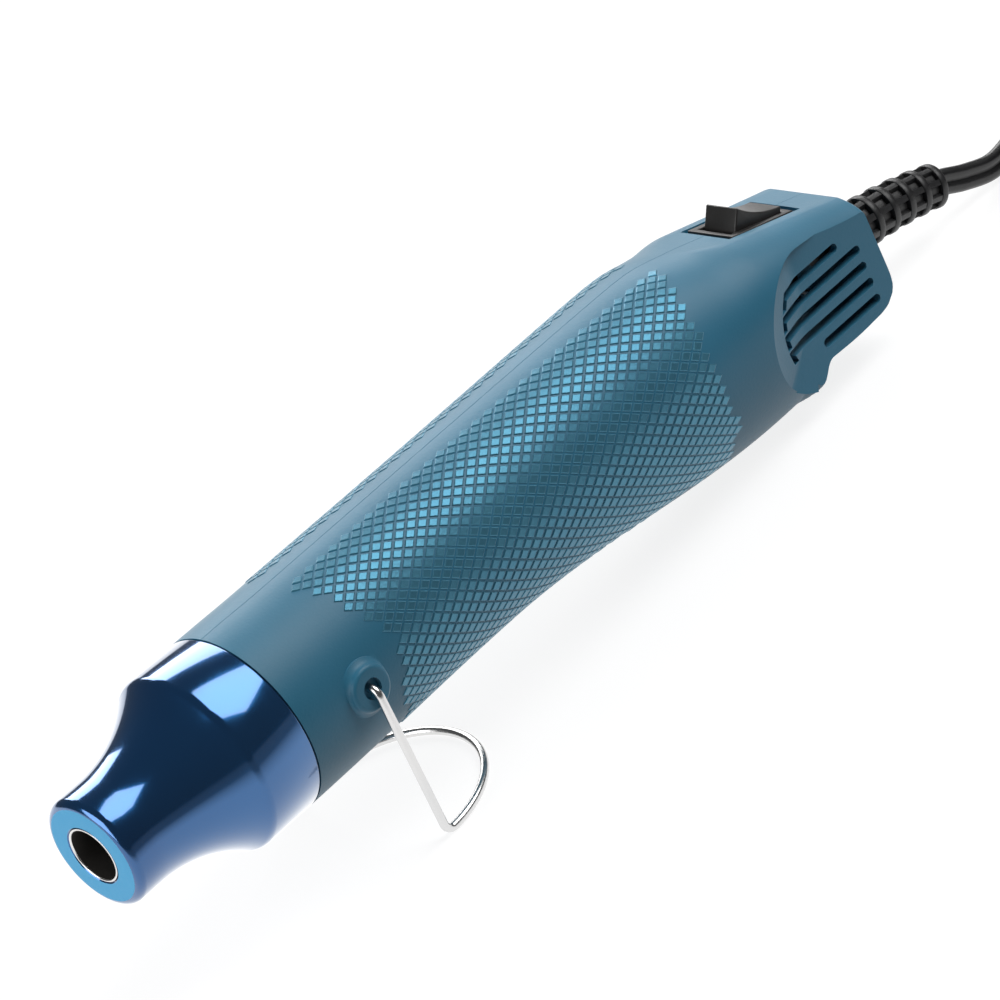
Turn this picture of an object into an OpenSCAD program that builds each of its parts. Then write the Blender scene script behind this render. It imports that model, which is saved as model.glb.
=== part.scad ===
// Embossing heat tool, all sizes in millimetres
// The tool's own axis runs along X from the outlet to the cord, with the switch on top.
// set_down() leans it back onto its wire stand, so that it rests on the plane z = 0.

/* [Nozzle] */
// Radius of the outlet end
tip_r = 13.5; // [12.5:0.1:14]
// Radius of the hot air outlet
outlet_r = 6.3; // [5:0.1:7]
// Length of nozzle in view
nozzle_len = 46; // [44:0.5:50]
// Thickness of the spun metal
nozzle_wall = 1; // [0.8:0.1:1.2]
// Straight part of the neck behind the outlet
neck_len = 8; // [6:0.5:10]
// Radius of the hollow flare between neck and collar
flare_r = 36; // [33:0.5:40]
// Rounding of the rim around the outlet face
rim_r = 2; // [1:0.1:3]
// Length of the skirt that the housing holds
skirt_len = 12; // [9:0.5:14]

/* [Housing] */
// Overall length from outlet face to rear face
body_len = 236; // [234:0.5:240]
// Radius at the front of the housing and at the nozzle collar
front_r = 22.3; // [22:0.1:23]
// Wall thickness
wall = 2; // [1.6:0.1:2.4]
// Height of the straight top line over the axis
top_r = 22; // [21.5:0.1:22.3]
// Half width at the waist
waist_half_w = 21.6; // [21.2:0.1:22]
// Depth under the axis at the waist
waist_depth = 21.1; // [20.5:0.1:22]
// Place of the waist along the axis
waist_x = 112; // [104:1:120]
// Half width at the belly
belly_half_w = 22.8; // [22.2:0.1:23.4]
// Depth under the axis at the belly
belly_depth = 29.5; // [28.5:0.1:30.5]
// Distance of the belly's widest place from the rear face
belly_back = 38; // [36:0.5:42]

/* [Tail] */
// Half width between the two flat vent faces
tail_half_w = 17; // [16.4:0.1:17.4]
// Depth under the axis at the front of the tail
tail_depth = 19.4; // [18.5:0.1:20.5]
// Extra depth at the rear corner of the tail
tail_hook = 1.6; // [0.5:0.1:2.5]
// Rounding of the rear corner
tail_corner_r = 6; // [4:0.5:7]
// Slope of the switch platform against the axis
pad_tilt = 16.1; // [14:0.1:18]
// Distance of the switch platform's front edge from the rear face
pad_back = 33; // [31:0.5:35]
// Height of the platform over the axis at its front edge
pad_z = 16.6; // [16:0.1:17.4]
// Half width of the platform at its front edge
pad_half_w = 9.5; // [9:0.1:10.5]
// Radius of the curved front edge of a vent face
vent_r = 18; // [16:0.5:19]
// Distance of that curve's centre from the rear face
vent_back = 21; // [19:0.5:22]
// Centre of that curve under the axis
vent_drop = 9.5; // [8.5:0.1:10.5]
// Number of air slots on each side
slot_count = 5; // [3:1:5]
// Width of an air slot
slot_w = 2.2; // [1.8:0.1:2.6]
// Distance between air slots
slot_pitch = 4.3; // [4:0.1:4.4]

/* [Stand] */
// Radius of the stand wire
wire_r = 1; // [0.8:0.05:1.2]
// Distance of the stand pivot behind the nozzle
stand_back = 18.5; // [16:0.5:24]
// Height of the pivot over the wire's foot
stand_h = 38.3; // [37:0.1:40]
// Half width between the two legs
stand_half_w = 25.2; // [25:0.1:27]
// Radius of the wire's bends
wire_bend = 2.2; // [2:0.1:3]
// Radius of the raised ring around each pivot hole
boss_r = 4.9; // [4.2:0.1:5.5]

/* [Heater] */
// Outer radius of the mica sleeve
sleeve_r = 12; // [11.2:0.1:12.1]
// Thickness of the mica sleeve
sleeve_t = 0.6; // [0.4:0.1:1]
// Radius of the heating coil
coil_r = 9; // [8:0.1:9.4]
// Radius of the heating wire
heat_wire_r = 0.45; // [0.35:0.05:0.6]
// Turns of the heating coil
coil_turns = 8; // [5:1:9]

/* [Motor and fan] */
// Radius of the motor can
motor_r = 13.9; // [12.5:0.1:14.2]
// Length of the motor can
motor_len = 30; // [26:0.5:32]
// Radius of the motor shaft
shaft_r = 1.15; // [1:0.05:1.5]
// Number of fan blades
fan_blades = 6; // [4:1:7]
// Radius of the fan hub
hub_r = 6; // [5:0.1:7]

/* [Switch] */
// Length of the recess around the switch
recess_len = 21.6; // [20.8:0.1:22.4]
// Width of the recess
recess_w = 16; // [15:0.1:16.6]
// Depth of the recess
recess_depth = 0.8; // [0.5:0.1:1]
// Length of the switch frame
switch_len = 18.8; // [18.2:0.1:19.6]
// Width of the switch frame
switch_w = 12.6; // [12.4:0.1:13.2]
// Half width of the rocker
rocker_half_w = 5.1; // [4.6:0.1:5.2]
// Tilt of the rocker to each side
rocker_tilt = 16; // [10:1:17]

/* [Cord and plug] */
// Width of the flat twin cord
cord_w = 6.2; // [5.6:0.1:7]
// Thickness of the cord
cord_t = 3.2; // [2.8:0.1:3.6]
// Radius of the strain relief at the housing
relief_r = 5.8; // [5.4:0.1:6.2]
// Radius of the strain relief at its end
relief_end_r = 5; // [4.4:0.1:5.3]
// Length of the strain relief outside the housing
relief_len = 34; // [30:0.5:36]
// Bend of the strain relief from end to end
relief_bend = 14; // [8:1:18]

/* [Hidden] */
$fn = 64;
// running clearance between pieces that don't touch
gap = 0.1;
// small overlap that keeps cuts clean
eps = 0.01;

// Places along the axis
belly_x = body_len - belly_back;
pad_x = body_len - pad_back;
vent_x = body_len - vent_back;
stand_x = nozzle_len + stand_back;
// Where the belly steps up into the tail
step_x = belly_x + 6;
step_len = 9;
// Lean of the tool: the foot of the wire and the belly both touch the table
belly_reach = step_x - stand_x;
lean = asin((stand_h + wire_r) / norm([belly_reach, belly_depth])) - atan2(belly_depth, belly_reach);
// Lift that brings the foot of the wire to z = 0
lift = stand_x * sin(lean) + stand_h + wire_r;

// Strain relief: its centre line is an arc that bends down from the rear face
exit_z = -7.3;
exit_slope = 4;
bend_r = relief_len * 180 / PI / relief_bend;
function relief_slope(s) = exit_slope + relief_bend * s / relief_len;
function relief_x(s) = body_len + bend_r * (sin(relief_slope(s)) - sin(exit_slope));
function relief_z(s) = exit_z - bend_r * (cos(exit_slope) - cos(relief_slope(s)));

// Shift that centres the tool over the origin, from the rim to the end of the strain relief
front_x = rim_r * cos(lean) - (tip_r - rim_r) * sin(lean) - rim_r;
rear_x = relief_x(relief_len) * cos(lean) + relief_z(relief_len) * sin(lean)
    + relief_end_r * sin(lean + relief_slope(relief_len));
shift = (front_x + rear_x) / 2;

// A smooth step from 0 to 1 as t goes from 0 to 1
function ease(t) = t <= 0 ? 0 : t >= 1 ? 1 : (1 - cos(180 * t)) / 2;
// The lower of two values, with a soft change over the width k
function soft_min(a, b, k) = (a + b - sqrt((a - b) * (a - b) + k * k)) / 2;

// Height of the platform's plane over the axis
function pad_height(x) = pad_z - (x - pad_x) * tan(pad_tilt);
tail_taper = 4.3;
// Half width of the housing, before the vent faces are cut
function half_width(x) = x < waist_x
    ? front_r + (waist_half_w - front_r) * ease((x - nozzle_len) / (waist_x - nozzle_len))
    : waist_half_w + (belly_half_w - waist_half_w) * ease((x - waist_x) / (belly_x - waist_x))
        - tail_taper * ease((x - belly_x) / (body_len - belly_x));
// Depth of the grip under the axis
function grip_depth(x) = x < waist_x
    ? front_r + (waist_depth - front_r) * ease((x - nozzle_len) / (waist_x - nozzle_len))
    : waist_depth + (belly_depth - waist_depth) * ease((x - waist_x) / (belly_x - waist_x));
// Distance into the rear corner's rounding
function corner_in(x) = max(0, x - (body_len - tail_corner_r));
function rounding(x) = tail_corner_r - sqrt(pow(tail_corner_r, 2) - pow(corner_in(x), 2));
function tail_bottom(x) = tail_depth + tail_hook * ease((x - step_x) / (body_len - 8 - step_x)) - rounding(x);
function tail_share(x) = ease((x - step_x) / step_len);
function depth(x) = grip_depth(x) * (1 - tail_share(x)) + tail_bottom(x) * tail_share(x);
// Height of the crest, which follows the platform's slope behind the grip
crest_softness = 1.5;
function crest(x) = soft_min(front_r + (top_r - front_r) * ease((x - nozzle_len) / 20),
    pad_height(x) + 0.05, crest_softness);
// Half width of the platform
function pad_width(x) = pad_half_w + 1.3 * ease((x - pad_x) / (body_len - pad_x));
// Squareness of the cross section, 2 is an ellipse
upper_power = 2.4;
lower_power = 7;
function upper_pow(x) = 2 + (upper_power - 2) * ease((x - belly_x + 14) / 30);
function lower_pow(x) = 2 + (lower_power - 2) * tail_share(x);
// Share of the platform: 0 in front of it, 1 along it
pad_lip = 1.2;
function pad_share(x) = ease((x - pad_x) / pad_lip);
// Height that the shoulder's curve would reach without the platform
function shoulder(x) = pad_height(x) / pow(1 - pow(pad_width(x) / half_width(x), upper_pow(x)), 1 / upper_pow(x));
function crown(x) = crest(x) * (1 - pad_share(x)) + shoulder(x) * pad_share(x);

// Radius of a section with half width a and height b at the angle f
function oval_r(a, b, n, f) = 1 / pow(pow(abs(cos(f)) / a, n) + pow(abs(sin(f)) / b, n), 1 / n);
// Angle of the platform's edge seen from the axis
function edge_angle(x) = atan2(max(pad_height(x), 5), pad_width(x));
// Surface point radius at x and angle f, drawn in by the distance d
function skin_r(x, f, d) = f < 0
    ? oval_r(half_width(x) - d, depth(x) - d, lower_pow(x), f)
    : x < pad_x + eps
        ? oval_r(half_width(x) - d, crown(x) - d, upper_pow(x), f)
        : min(oval_r(half_width(x) - d, crown(x) - d, upper_pow(x), f), (pad_height(x) - d) / sin(max(f, 1)));

// Sections along the housing: wide steps on the grip, narrow ones where the form turns
seam = 0.3;
shell_x = nozzle_len + seam;
inside_stations = concat([for (i = [0:7]) shell_x + (waist_x + 14 - shell_x) * i / 8],
    [for (i = [0:6]) waist_x + 14 + (belly_x - 18 - waist_x - 14) * i / 7],
    [for (i = [0:3]) belly_x - 18 + (pad_x - belly_x + 18) * i / 4],
    [pad_x, pad_x + pad_lip, step_x + 2, step_x + 4, step_x + 6, step_x + 8, step_x + 11],
    [step_x + 18, body_len - tail_corner_r, body_len - 3.8, body_len - wall]);
stations = concat(inside_stations, [body_len - 0.7, body_len]);
low_steps = 8;
side_steps = 6;
top_steps = 3;
// Angles of one half section, from the keel over the side to the crest
function angles(x) = concat([for (i = [0:low_steps - 1]) -90 + 90 * i / low_steps],
    [for (i = [0:side_steps - 1]) edge_angle(x) * i / side_steps],
    [for (i = [0:top_steps]) edge_angle(x) + (90 - edge_angle(x)) * i / top_steps]);
function half_section(x, d, side) = [for (f = angles(x)) [x, side * skin_r(x, f, d) * cos(f), skin_r(x, f, d) * sin(f)]];
// The inside stays clear of the vent faces
function inside_limit(x) = x < vent_x - vent_r - 2 ? 100 : tail_half_w - wall;
function inner_section(x, side) = [for (p = half_section(x, wall, side)) [x, side * min(abs(p[1]), inside_limit(x)), p[2]]];

// A closed solid through rings of points, all with the same count
module loft(rings) {
    n = len(rings[0]);
    m = len(rings);
    polyhedron(points = [for (r = rings) for (p = r) p],
        faces = concat([[for (i = [0:n - 1]) i]], [[for (i = [n - 1:-1:0]) (m - 1) * n + i]],
            [for (j = [0:m - 2]) for (i = [0:n - 1])
                let (a = j * n + i, b = j * n + (i + 1) % n) each [[a, a + n, b + n], [a, b + n, b]]]));
}

// Moves from the tool's own axes to the way it stands
module set_down() {
    translate([-shift, 0, lift]) rotate([0, lean, 0]) children();
}
// Tube, rod and ring along the axis
module rod(x, len, r) {
    translate([x, 0, 0]) rotate([0, 90, 0]) cylinder(r = r, h = len);
}
module pipe(x, len, r, hole) {
    difference() {
        rod(x, len, r);
        rod(x - 1, len + 2, hole);
    }
}
// Moves to the platform: x along it from the front of the recess, z square to it
recess_x = pad_x + 3.3;
module on_pad() {
    translate([recess_x, 0, pad_height(recess_x)]) rotate([0, pad_tilt, 0]) children();
}

// SWEPT FORMS
function unit(v) = v / norm(v);
// Smooth curve through hand-set points, with n steps between each pair
function curve_point(p, i, t) = let (a = p[max(i - 1, 0)], b = p[i], c = p[i + 1], d = p[min(i + 2, len(p) - 1)])
    (2 * b + (c - a) * t + (2 * a - 5 * b + 4 * c - d) * t * t + (3 * b - a - 3 * c + d) * t * t * t) / 2;
function curve(p, n) = concat([for (i = [0:len(p) - 2]) for (j = [0:n - 1]) curve_point(p, i, j / n)], [p[len(p) - 1]]);
function heading(p, i) = unit(p[min(i + 1, len(p) - 1)] - p[max(i - 1, 0)]);
// Ring of a section, given as [sideways, upright] pairs, at point i of a path
function ring_at(p, i, section) = let (t = heading(p, i), side = unit(cross([0, 0, 1], t)), up = cross(t, side))
    [for (q = section) p[i] + q[0] * side + q[1] * up];
module swept(p, section) {
    loft([for (i = [0:len(p) - 1]) ring_at(p, i, section)]);
}
function round_section(r, n) = [for (i = [0:n - 1]) [r * cos(360 * i / n), r * sin(360 * i / n)]];

// HOUSING
// The same face seen from the other side
function turned(f) = concat([f[0]], [for (i = [len(f) - 1:-1:1]) f[i]]);
// Shell of one half as one closed solid: outer skin, inner skin, rear wall, open front and edges on the parting plane
module half_shell(side) {
    outer = [for (x = stations) for (p = half_section(x, 0, side)) p];
    inner = [for (x = inside_stations) for (p = inner_section(x, side)) p];
    k = low_steps + side_steps + top_steps + 1;
    j = len(stations);
    m = len(inside_stations);
    base = len(outer);
    quads = concat([for (i = [0:j - 2]) for (n = [0:k - 2]) [i * k + n, (i + 1) * k + n, (i + 1) * k + n + 1, i * k + n + 1]],
        [for (i = [0:m - 2]) for (n = [0:k - 2])
            [base + i * k + n, base + i * k + n + 1, base + (i + 1) * k + n + 1, base + (i + 1) * k + n]],
        [for (n = [0:k - 2]) [n, n + 1, base + n + 1, base + n]],
        [for (i = [0:m - 2]) [i * k, base + i * k, base + (i + 1) * k, (i + 1) * k]],
        [for (i = [0:m - 2]) [i * k + k - 1, (i + 1) * k + k - 1, base + (i + 1) * k + k - 1, base + i * k + k - 1]]);
    triangles = [for (q = quads) each [[q[0], q[1], q[2]], [q[0], q[2], q[3]]]];
    ends = [concat([(j - 1) * k], [for (n = [k - 1:-1:1]) (j - 1) * k + n]), [for (n = [0:k - 1]) base + (m - 1) * k + n],
        concat([for (i = [j - 1:-1:m - 1]) i * k], [base + (m - 1) * k, base + (m - 1) * k + k - 1],
            [for (i = [m - 1:j - 1]) i * k + k - 1])];
    faces = concat(triangles, ends);
    polyhedron(points = concat(outer, inner), faces = side > 0 ? faces : [for (f = faces) turned(f)]);
}
// Cylinder across the tool, from y0 to y1 on the given side
module cross_rod(x, z, r, y0, y1, side) {
    translate([x, side * y0, z]) rotate([-90 * side, 0, 0]) cylinder(r = r, h = y1 - y0);
}
// Block between the parting plane and y1 on the given side
module half_block(x, z, len_x, len_z, y1, side) {
    translate([x, side > 0 ? 0 : -y1, z]) cube([len_x, y1, len_z]);
}

// Screw posts: place along the axis, height, reach to the wall
posts = [[84, 14, 12.4], [84, -14, 12.4], [body_len - 46, -22.5, 10.2], [body_len - 43, 12, 13]];
post_r = 3.6;
screw_r = 1.25;
screw_clear_r = 1.7;
screw_head_r = 2.6;
screw_head_h = 1.8;
head_y = 8;
screw_tip_y = 7;

// Motor place, used by the housing, mount and motor
motor_x = body_len - 89;
cradle_x = [motor_x + 16, motor_x + 27];
cradle_w = 2;
cradle_half = 6;

// Stand bosses
boss_y = stand_half_w - wire_r - 0.2;
boss_in_y = 17.5;
pivot_r = wire_r + 0.15;
mouth_r = 2.4;
mouth_depth = 1.6;

// Vent face: everything behind a curved edge, outside the flat plane
vent_slope = 10;
vent_tail = 40;
vent_steps = 24;
vent_edge = [for (i = [0:vent_steps]) let (f = 90 - vent_slope + (180 + vent_slope) * i / vent_steps)
    [vent_x + vent_r * cos(f), -vent_drop + vent_r * sin(f)]];
module vent_shape() {
    polygon(concat(vent_edge, [[vent_x, -vent_tail - vent_r], [vent_x + vent_tail, -vent_tail - vent_r]],
        [vent_edge[0] + vent_tail * [cos(vent_slope), -sin(vent_slope)]]));
}
// Air slots run along the tool, and their front ends hook down along the curved edge
slot_top_z = 1.8;
slot_rear_x = body_len - 5;
slot_first_rear_x = body_len - 10.5;
slot_last_x = vent_x - 2;
hook_drop = 2.6;
slot_in_r = vent_r - 2.6;
module slot_shape(i) {
    z = slot_top_z - slot_pitch * i;
    rear = (i == 0 ? slot_first_rear_x : slot_rear_x) - slot_w / 2;
    translate([rear, z]) circle(d = slot_w);
    if (i == slot_count - 1) {
        translate([slot_last_x, z]) circle(d = slot_w);
        translate([slot_last_x, z - slot_w / 2]) square([rear - slot_last_x, slot_w]);
    } else {
        intersection() {
            translate([vent_x, -vent_drop]) circle(r = slot_in_r);
            translate([vent_x - vent_r, z - slot_w / 2]) square([rear - vent_x + vent_r, slot_w]);
        }
        intersection() {
            translate([vent_x, -vent_drop]) difference() {
                circle(r = slot_in_r);
                circle(r = slot_in_r - slot_w * 0.7);
            }
            translate([vent_x - vent_r, z - hook_drop]) square([vent_r - 2, hook_drop]);
        }
    }
}
module across(y0, y1, side) {
    translate([0, side > 0 ? y1 : -y0, 0]) rotate([90, 0, 0]) linear_extrude(height = y1 - y0) children();
}

// Sizes of the switch opening in the platform, measured in the platform's own frame
switch_mid = recess_len / 2;
switch_depth = 12;
flange_t = recess_depth - 0.05;
flange_edge = 1;
module switch_cut() {
    on_pad() {
        translate([0, -recess_w / 2, -recess_depth]) cube([recess_len, recess_w, recess_depth + 3]);
        translate([switch_mid - switch_len / 2 + flange_edge - gap, -switch_w / 2 - gap, -wall * 3])
            cube([switch_len - 2 * flange_edge + 2 * gap, switch_w + 2 * gap, wall * 4]);
    }
}

// Strain relief passage in the rear wall
relief_neck_r = 4;
module at_relief(s) {
    translate([relief_x(s), 0, relief_z(s)]) rotate([0, relief_slope(s), 0]) children();
}
// Groove for the lip of the nozzle skirt
skirt_r = 20;
lip_r = 20.9;
lip_x = nozzle_len + 8;
lip_w = 1.5;
// Posts for the cord clamp, on the left half only
clamp_x = body_len - 11;
clamp_z = [-0.7, -12.4];
clamp_y = 3.6;
clamp_post_r = 2.2;
clamp_screw_r = 1;

module housing_half(side) {
    difference() {
        union() {
            difference() {
                half_shell(side);
                across(tail_half_w, tail_half_w + 20, side) vent_shape();
            }
            for (p = posts) cross_rod(p[0], p[1], post_r, 0, p[2], side);
            cross_rod(stand_x, 0, boss_r, boss_in_y, boss_y, side);
            for (x = cradle_x) {
                half_block(x, -grip_depth(x) + 1, cradle_w, grip_depth(x) - 1 - motor_r + 2, cradle_half, side);
                half_block(x, motor_r - 2, cradle_w, top_r - 1 - motor_r + 2, cradle_half, side);
            }
            if (side < 0) for (z = clamp_z) cross_rod(clamp_x, z, clamp_post_r, -clamp_y, tail_half_w - wall + 1, side);
        }
        rod(motor_x, motor_len + 2, motor_r + gap);
        rod(lip_x - 0.2, lip_w + 0.4, lip_r + gap);
        for (i = [0:slot_count - 1]) across(tail_half_w - wall - 2, tail_half_w + 1, side) slot_shape(i);
        cross_rod(stand_x, 0, pivot_r, boss_in_y - 1, boss_y + 1, side);
        cross_rod(stand_x, 0, mouth_r, boss_y - mouth_depth, boss_y + 1, side);
        switch_cut();
        at_relief(-4) rod(0, 8, relief_neck_r + gap);
        for (p = posts) {
            if (side < 0) cross_rod(p[0], p[1], screw_r + 0.05, -1, screw_tip_y + 1, side);
            else {
                cross_rod(p[0], p[1], screw_clear_r, -1, head_y + 1, side);
                cross_rod(p[0], p[1], screw_head_r + 0.4, head_y, 30, side);
            }
        }
        if (side < 0) for (z = clamp_z) cross_rod(clamp_x, z, clamp_screw_r + 0.05, -clamp_y - 1, 6, side);
    }
}
module housing_left() {
    color([0.18, 0.42, 0.55]) housing_half(-1);
}
module housing_right() {
    color([0.18, 0.42, 0.55]) housing_half(1);
}

// NOZZLE
// The flare is a hollow arc that runs on smoothly into the rounded edge of the collar
collar_edge_r = 3;
collar_centre_r = front_r - collar_edge_r;
flare_centre_r = tip_r + flare_r;
flare_reach = sqrt(pow(flare_r + collar_edge_r, 2) - pow(flare_centre_r - collar_centre_r, 2));
flare_turn = asin(flare_reach / (flare_r + collar_edge_r));
collar_x = neck_len + flare_reach;
flare_steps = 10;
edge_steps = 4;
face_hole_r = outlet_r + 0.7;
// Profile points are [radius, place along the axis], d is the distance inside the outer surface
function flare_points(d) = [for (i = [0:flare_steps]) let (f = flare_turn * i / flare_steps)
    [flare_centre_r - (flare_r + d) * cos(f), neck_len + (flare_r + d) * sin(f)]];
function edge_points(d) = [for (i = [1:edge_steps]) let (f = flare_turn * (1 - i / edge_steps))
    [collar_centre_r + (collar_edge_r - d) * cos(f), collar_x - (collar_edge_r - d) * sin(f)]];
function backwards(p) = [for (i = [len(p) - 1:-1:0]) p[i]];
nozzle_profile = concat([[face_hole_r, 0], [tip_r - rim_r, 0]],
    [for (i = [1:4]) [tip_r - rim_r + rim_r * sin(22.5 * i), rim_r - rim_r * cos(22.5 * i)]],
    flare_points(0), edge_points(0),
    [[front_r, nozzle_len], [skirt_r, nozzle_len], [skirt_r, lip_x], [lip_r, lip_x], [lip_r, lip_x + lip_w]],
    [[skirt_r, lip_x + lip_w], [skirt_r, nozzle_len + skirt_len], [skirt_r - nozzle_wall, nozzle_len + skirt_len]],
    [[skirt_r - nozzle_wall, nozzle_len - nozzle_wall], [front_r - nozzle_wall, nozzle_len - nozzle_wall]],
    backwards(edge_points(nozzle_wall)), backwards(flare_points(nozzle_wall)),
    [[tip_r - nozzle_wall, nozzle_wall], [face_hole_r, nozzle_wall]]);
module nozzle() {
    color([0.1, 0.25, 0.6]) rotate([0, 90, 0]) rotate([0, 0, 180]) rotate_extrude($fn = 48) polygon(nozzle_profile);
}
flange_x = 10;
flange_w = 1;
module outlet_tube() {
    color([0.75, 0.78, 0.8]) {
        pipe(0.3, flange_x + flange_w - 0.3, face_hole_r - gap, outlet_r);
        pipe(flange_x, flange_w, tip_r - nozzle_wall - gap, outlet_r);
    }
}

// HEATER
sleeve_x = flange_x + flange_w + gap;
sleeve_len = 49.5;
module mica_sleeve() {
    color([0.8, 0.72, 0.55]) pipe(sleeve_x, sleeve_len, sleeve_r, sleeve_r - sleeve_t);
}
former_x = 22;
former_len = 34;
former_t = 0.8;
former_foot = 3;
coil_steps = 14;
former_half = coil_r * cos(180 / coil_steps) - heat_wire_r - gap;
foot_half = sleeve_r - sleeve_t - 0.2;
module heater_former() {
    color([0.85, 0.8, 0.68]) for (a = [0, 90]) rotate([a, 0, 0]) {
        translate([former_x, -former_half, -former_t / 2]) cube([former_len, 2 * former_half, former_t]);
        for (x = [former_x, former_x + former_len - former_foot])
            translate([x, -foot_half, -former_t / 2]) cube([former_foot, 2 * foot_half, former_t]);
    }
}
coil_x = former_x + former_foot + 1;
coil_len = former_len - 2 * former_foot - 2;
coil_path = [for (i = [0:coil_turns * coil_steps])
    [coil_x + coil_len * i / (coil_turns * coil_steps), coil_r * cos(360 * i / coil_steps), coil_r * sin(360 * i / coil_steps)]];
function coil_ring(p) = let (out = unit([0, p[1], p[2]]))
    [for (i = [0:5]) p + heat_wire_r * (cos(60 * i) * out + sin(60 * i) * [1, 0, 0])];
module heating_coil() {
    color([0.7, 0.6, 0.5]) loft([for (p = coil_path) coil_ring(p)]);
}
disc_x = nozzle_len + skirt_len + 0.2;
disc_t = 1.3;
disc_gap = 0.5;
module heater_disc() {
    color([0.88, 0.84, 0.75]) pipe(disc_x, disc_t, skirt_r - disc_gap, sleeve_r + gap);
}
cutout_r = 3;
cutout_len = 8;
module thermal_cutout() {
    color([0.8, 0.8, 0.82]) translate([0, 0, sleeve_r + cutout_r + 1]) rod(disc_x + disc_t + gap, cutout_len, cutout_r);
}

// MOTOR AND FAN
duct_x = motor_x - 23;
duct_r = 19;
duct_in_r = 18;
duct_len = 23;
mount_r = 15.8;
mount_len = 16;
strut_w = 4;
strut_t = 3;
module motor_mount() {
    color([0.12, 0.12, 0.13]) {
        pipe(duct_x, duct_len, duct_r, duct_in_r);
        pipe(motor_x - strut_t, mount_len, mount_r, motor_r + gap);
        pipe(motor_x - strut_t, strut_t - 0.2, motor_r + 0.5, 5);
        for (a = [60, 180, 300]) rotate([a, 0, 0])
            translate([motor_x - strut_t, -strut_w / 2, mount_r - 0.5]) cube([strut_t, strut_w, duct_in_r - mount_r + 1]);
    }
}
can_t = 0.9;
cap_t = 3;
bearing_r = 3;
bearing_len = 1.6;
shaft_hole_r = shaft_r + gap;
module motor_can() {
    color([0.7, 0.7, 0.72]) difference() {
        union() {
            rod(motor_x, motor_len, motor_r);
            rod(motor_x - bearing_len, bearing_len + 1, bearing_r);
        }
        rod(motor_x + 1.2, motor_len, motor_r - can_t);
        rod(motor_x - 3, 6, shaft_hole_r);
    }
}
magnet_x = motor_x + 3;
magnet_len = 20;
magnet_t = 2.4;
magnet_half = 8.5;
module motor_magnets() {
    color([0.25, 0.25, 0.27]) difference() {
        pipe(magnet_x, magnet_len, motor_r - can_t - 0.05, motor_r - can_t - magnet_t);
        for (s = [-1, 1]) translate([magnet_x - 1, -motor_r, s > 0 ? magnet_half : -magnet_half - motor_r])
            cube([magnet_len + 2, 2 * motor_r, motor_r]);
    }
}
armature_r = 9.8;
module motor_armature() {
    color([0.5, 0.38, 0.3]) difference() {
        union() {
            rod(magnet_x + 1, magnet_len - 2, armature_r);
            rod(magnet_x + magnet_len - 1.5, 5, 3);
        }
        for (a = [0, 120, 240]) rotate([a, 0, 0])
            translate([magnet_x, -1, armature_r - 5]) cube([magnet_len, 2, 6]);
        rod(magnet_x - 1, magnet_len + 10, shaft_r + 0.02);
    }
}
cap_x = motor_x + motor_len + gap;
shaft_x = duct_x + 4;
shaft_end = cap_x + cap_t + 1.5;
module motor_end_cap() {
    color([0.9, 0.9, 0.88]) difference() {
        union() {
            rod(cap_x, cap_t, motor_r);
            rod(cap_x + 1, cap_t + 1, bearing_r);
        }
        rod(cap_x - 1, cap_t + 6, shaft_hole_r);
    }
}
module motor_shaft() {
    color([0.75, 0.75, 0.78]) rod(shaft_x, shaft_end - shaft_x, shaft_r);
}
tab_z = 9;
tab_t = 0.7;
tab_w = 2.6;
tab_len = 6;
module motor_terminals() {
    color([0.8, 0.65, 0.3]) for (z = [-tab_z, tab_z])
        translate([cap_x + cap_t + gap, -tab_w / 2, z - tab_t / 2]) cube([tab_len, tab_w, tab_t]);
}
blade_tip_r = duct_in_r - 0.7;
blade_chord = 10;
blade_t = 1;
blade_pitch = 35;
hub_len = 11;
hub_x = duct_x + 6;
module fan() {
    color([0.15, 0.15, 0.16]) difference() {
        union() {
            rod(hub_x, hub_len, hub_r);
            for (i = [0:fan_blades - 1]) rotate([360 * i / fan_blades, 0, 0])
                translate([hub_x + hub_len / 2, 0, 0]) rotate([0, 0, blade_pitch])
                    translate([-blade_chord / 2, -blade_t / 2, hub_r - 1]) cube([blade_chord, blade_t, blade_tip_r - hub_r + 1]);
        }
        rod(hub_x - 1, hub_len + 2, shaft_r + 0.02);
    }
}
board_x = cap_x + cap_t + 2.6;
board_t = 1.6;
board_r = 12.8;
module rectifier_board() {
    color([0.15, 0.4, 0.25]) difference() {
        rod(board_x, board_t, board_r);
        for (z = [-tab_z, tab_z]) translate([board_x - 1, -tab_w / 2 - 0.1, z - tab_t / 2 - 0.1])
            cube([board_t + 2, tab_w + 0.2, tab_t + 0.2]);
    }
}
diode_r = 1.35;
diode_len = 5.2;
module rectifier_diodes() {
    color([0.1, 0.1, 0.1]) for (y = [-8, -4, 4, 8])
        translate([board_x + board_t + diode_r + 0.05, y, -diode_len / 2]) cylinder(r = diode_r, h = diode_len);
}

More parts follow.
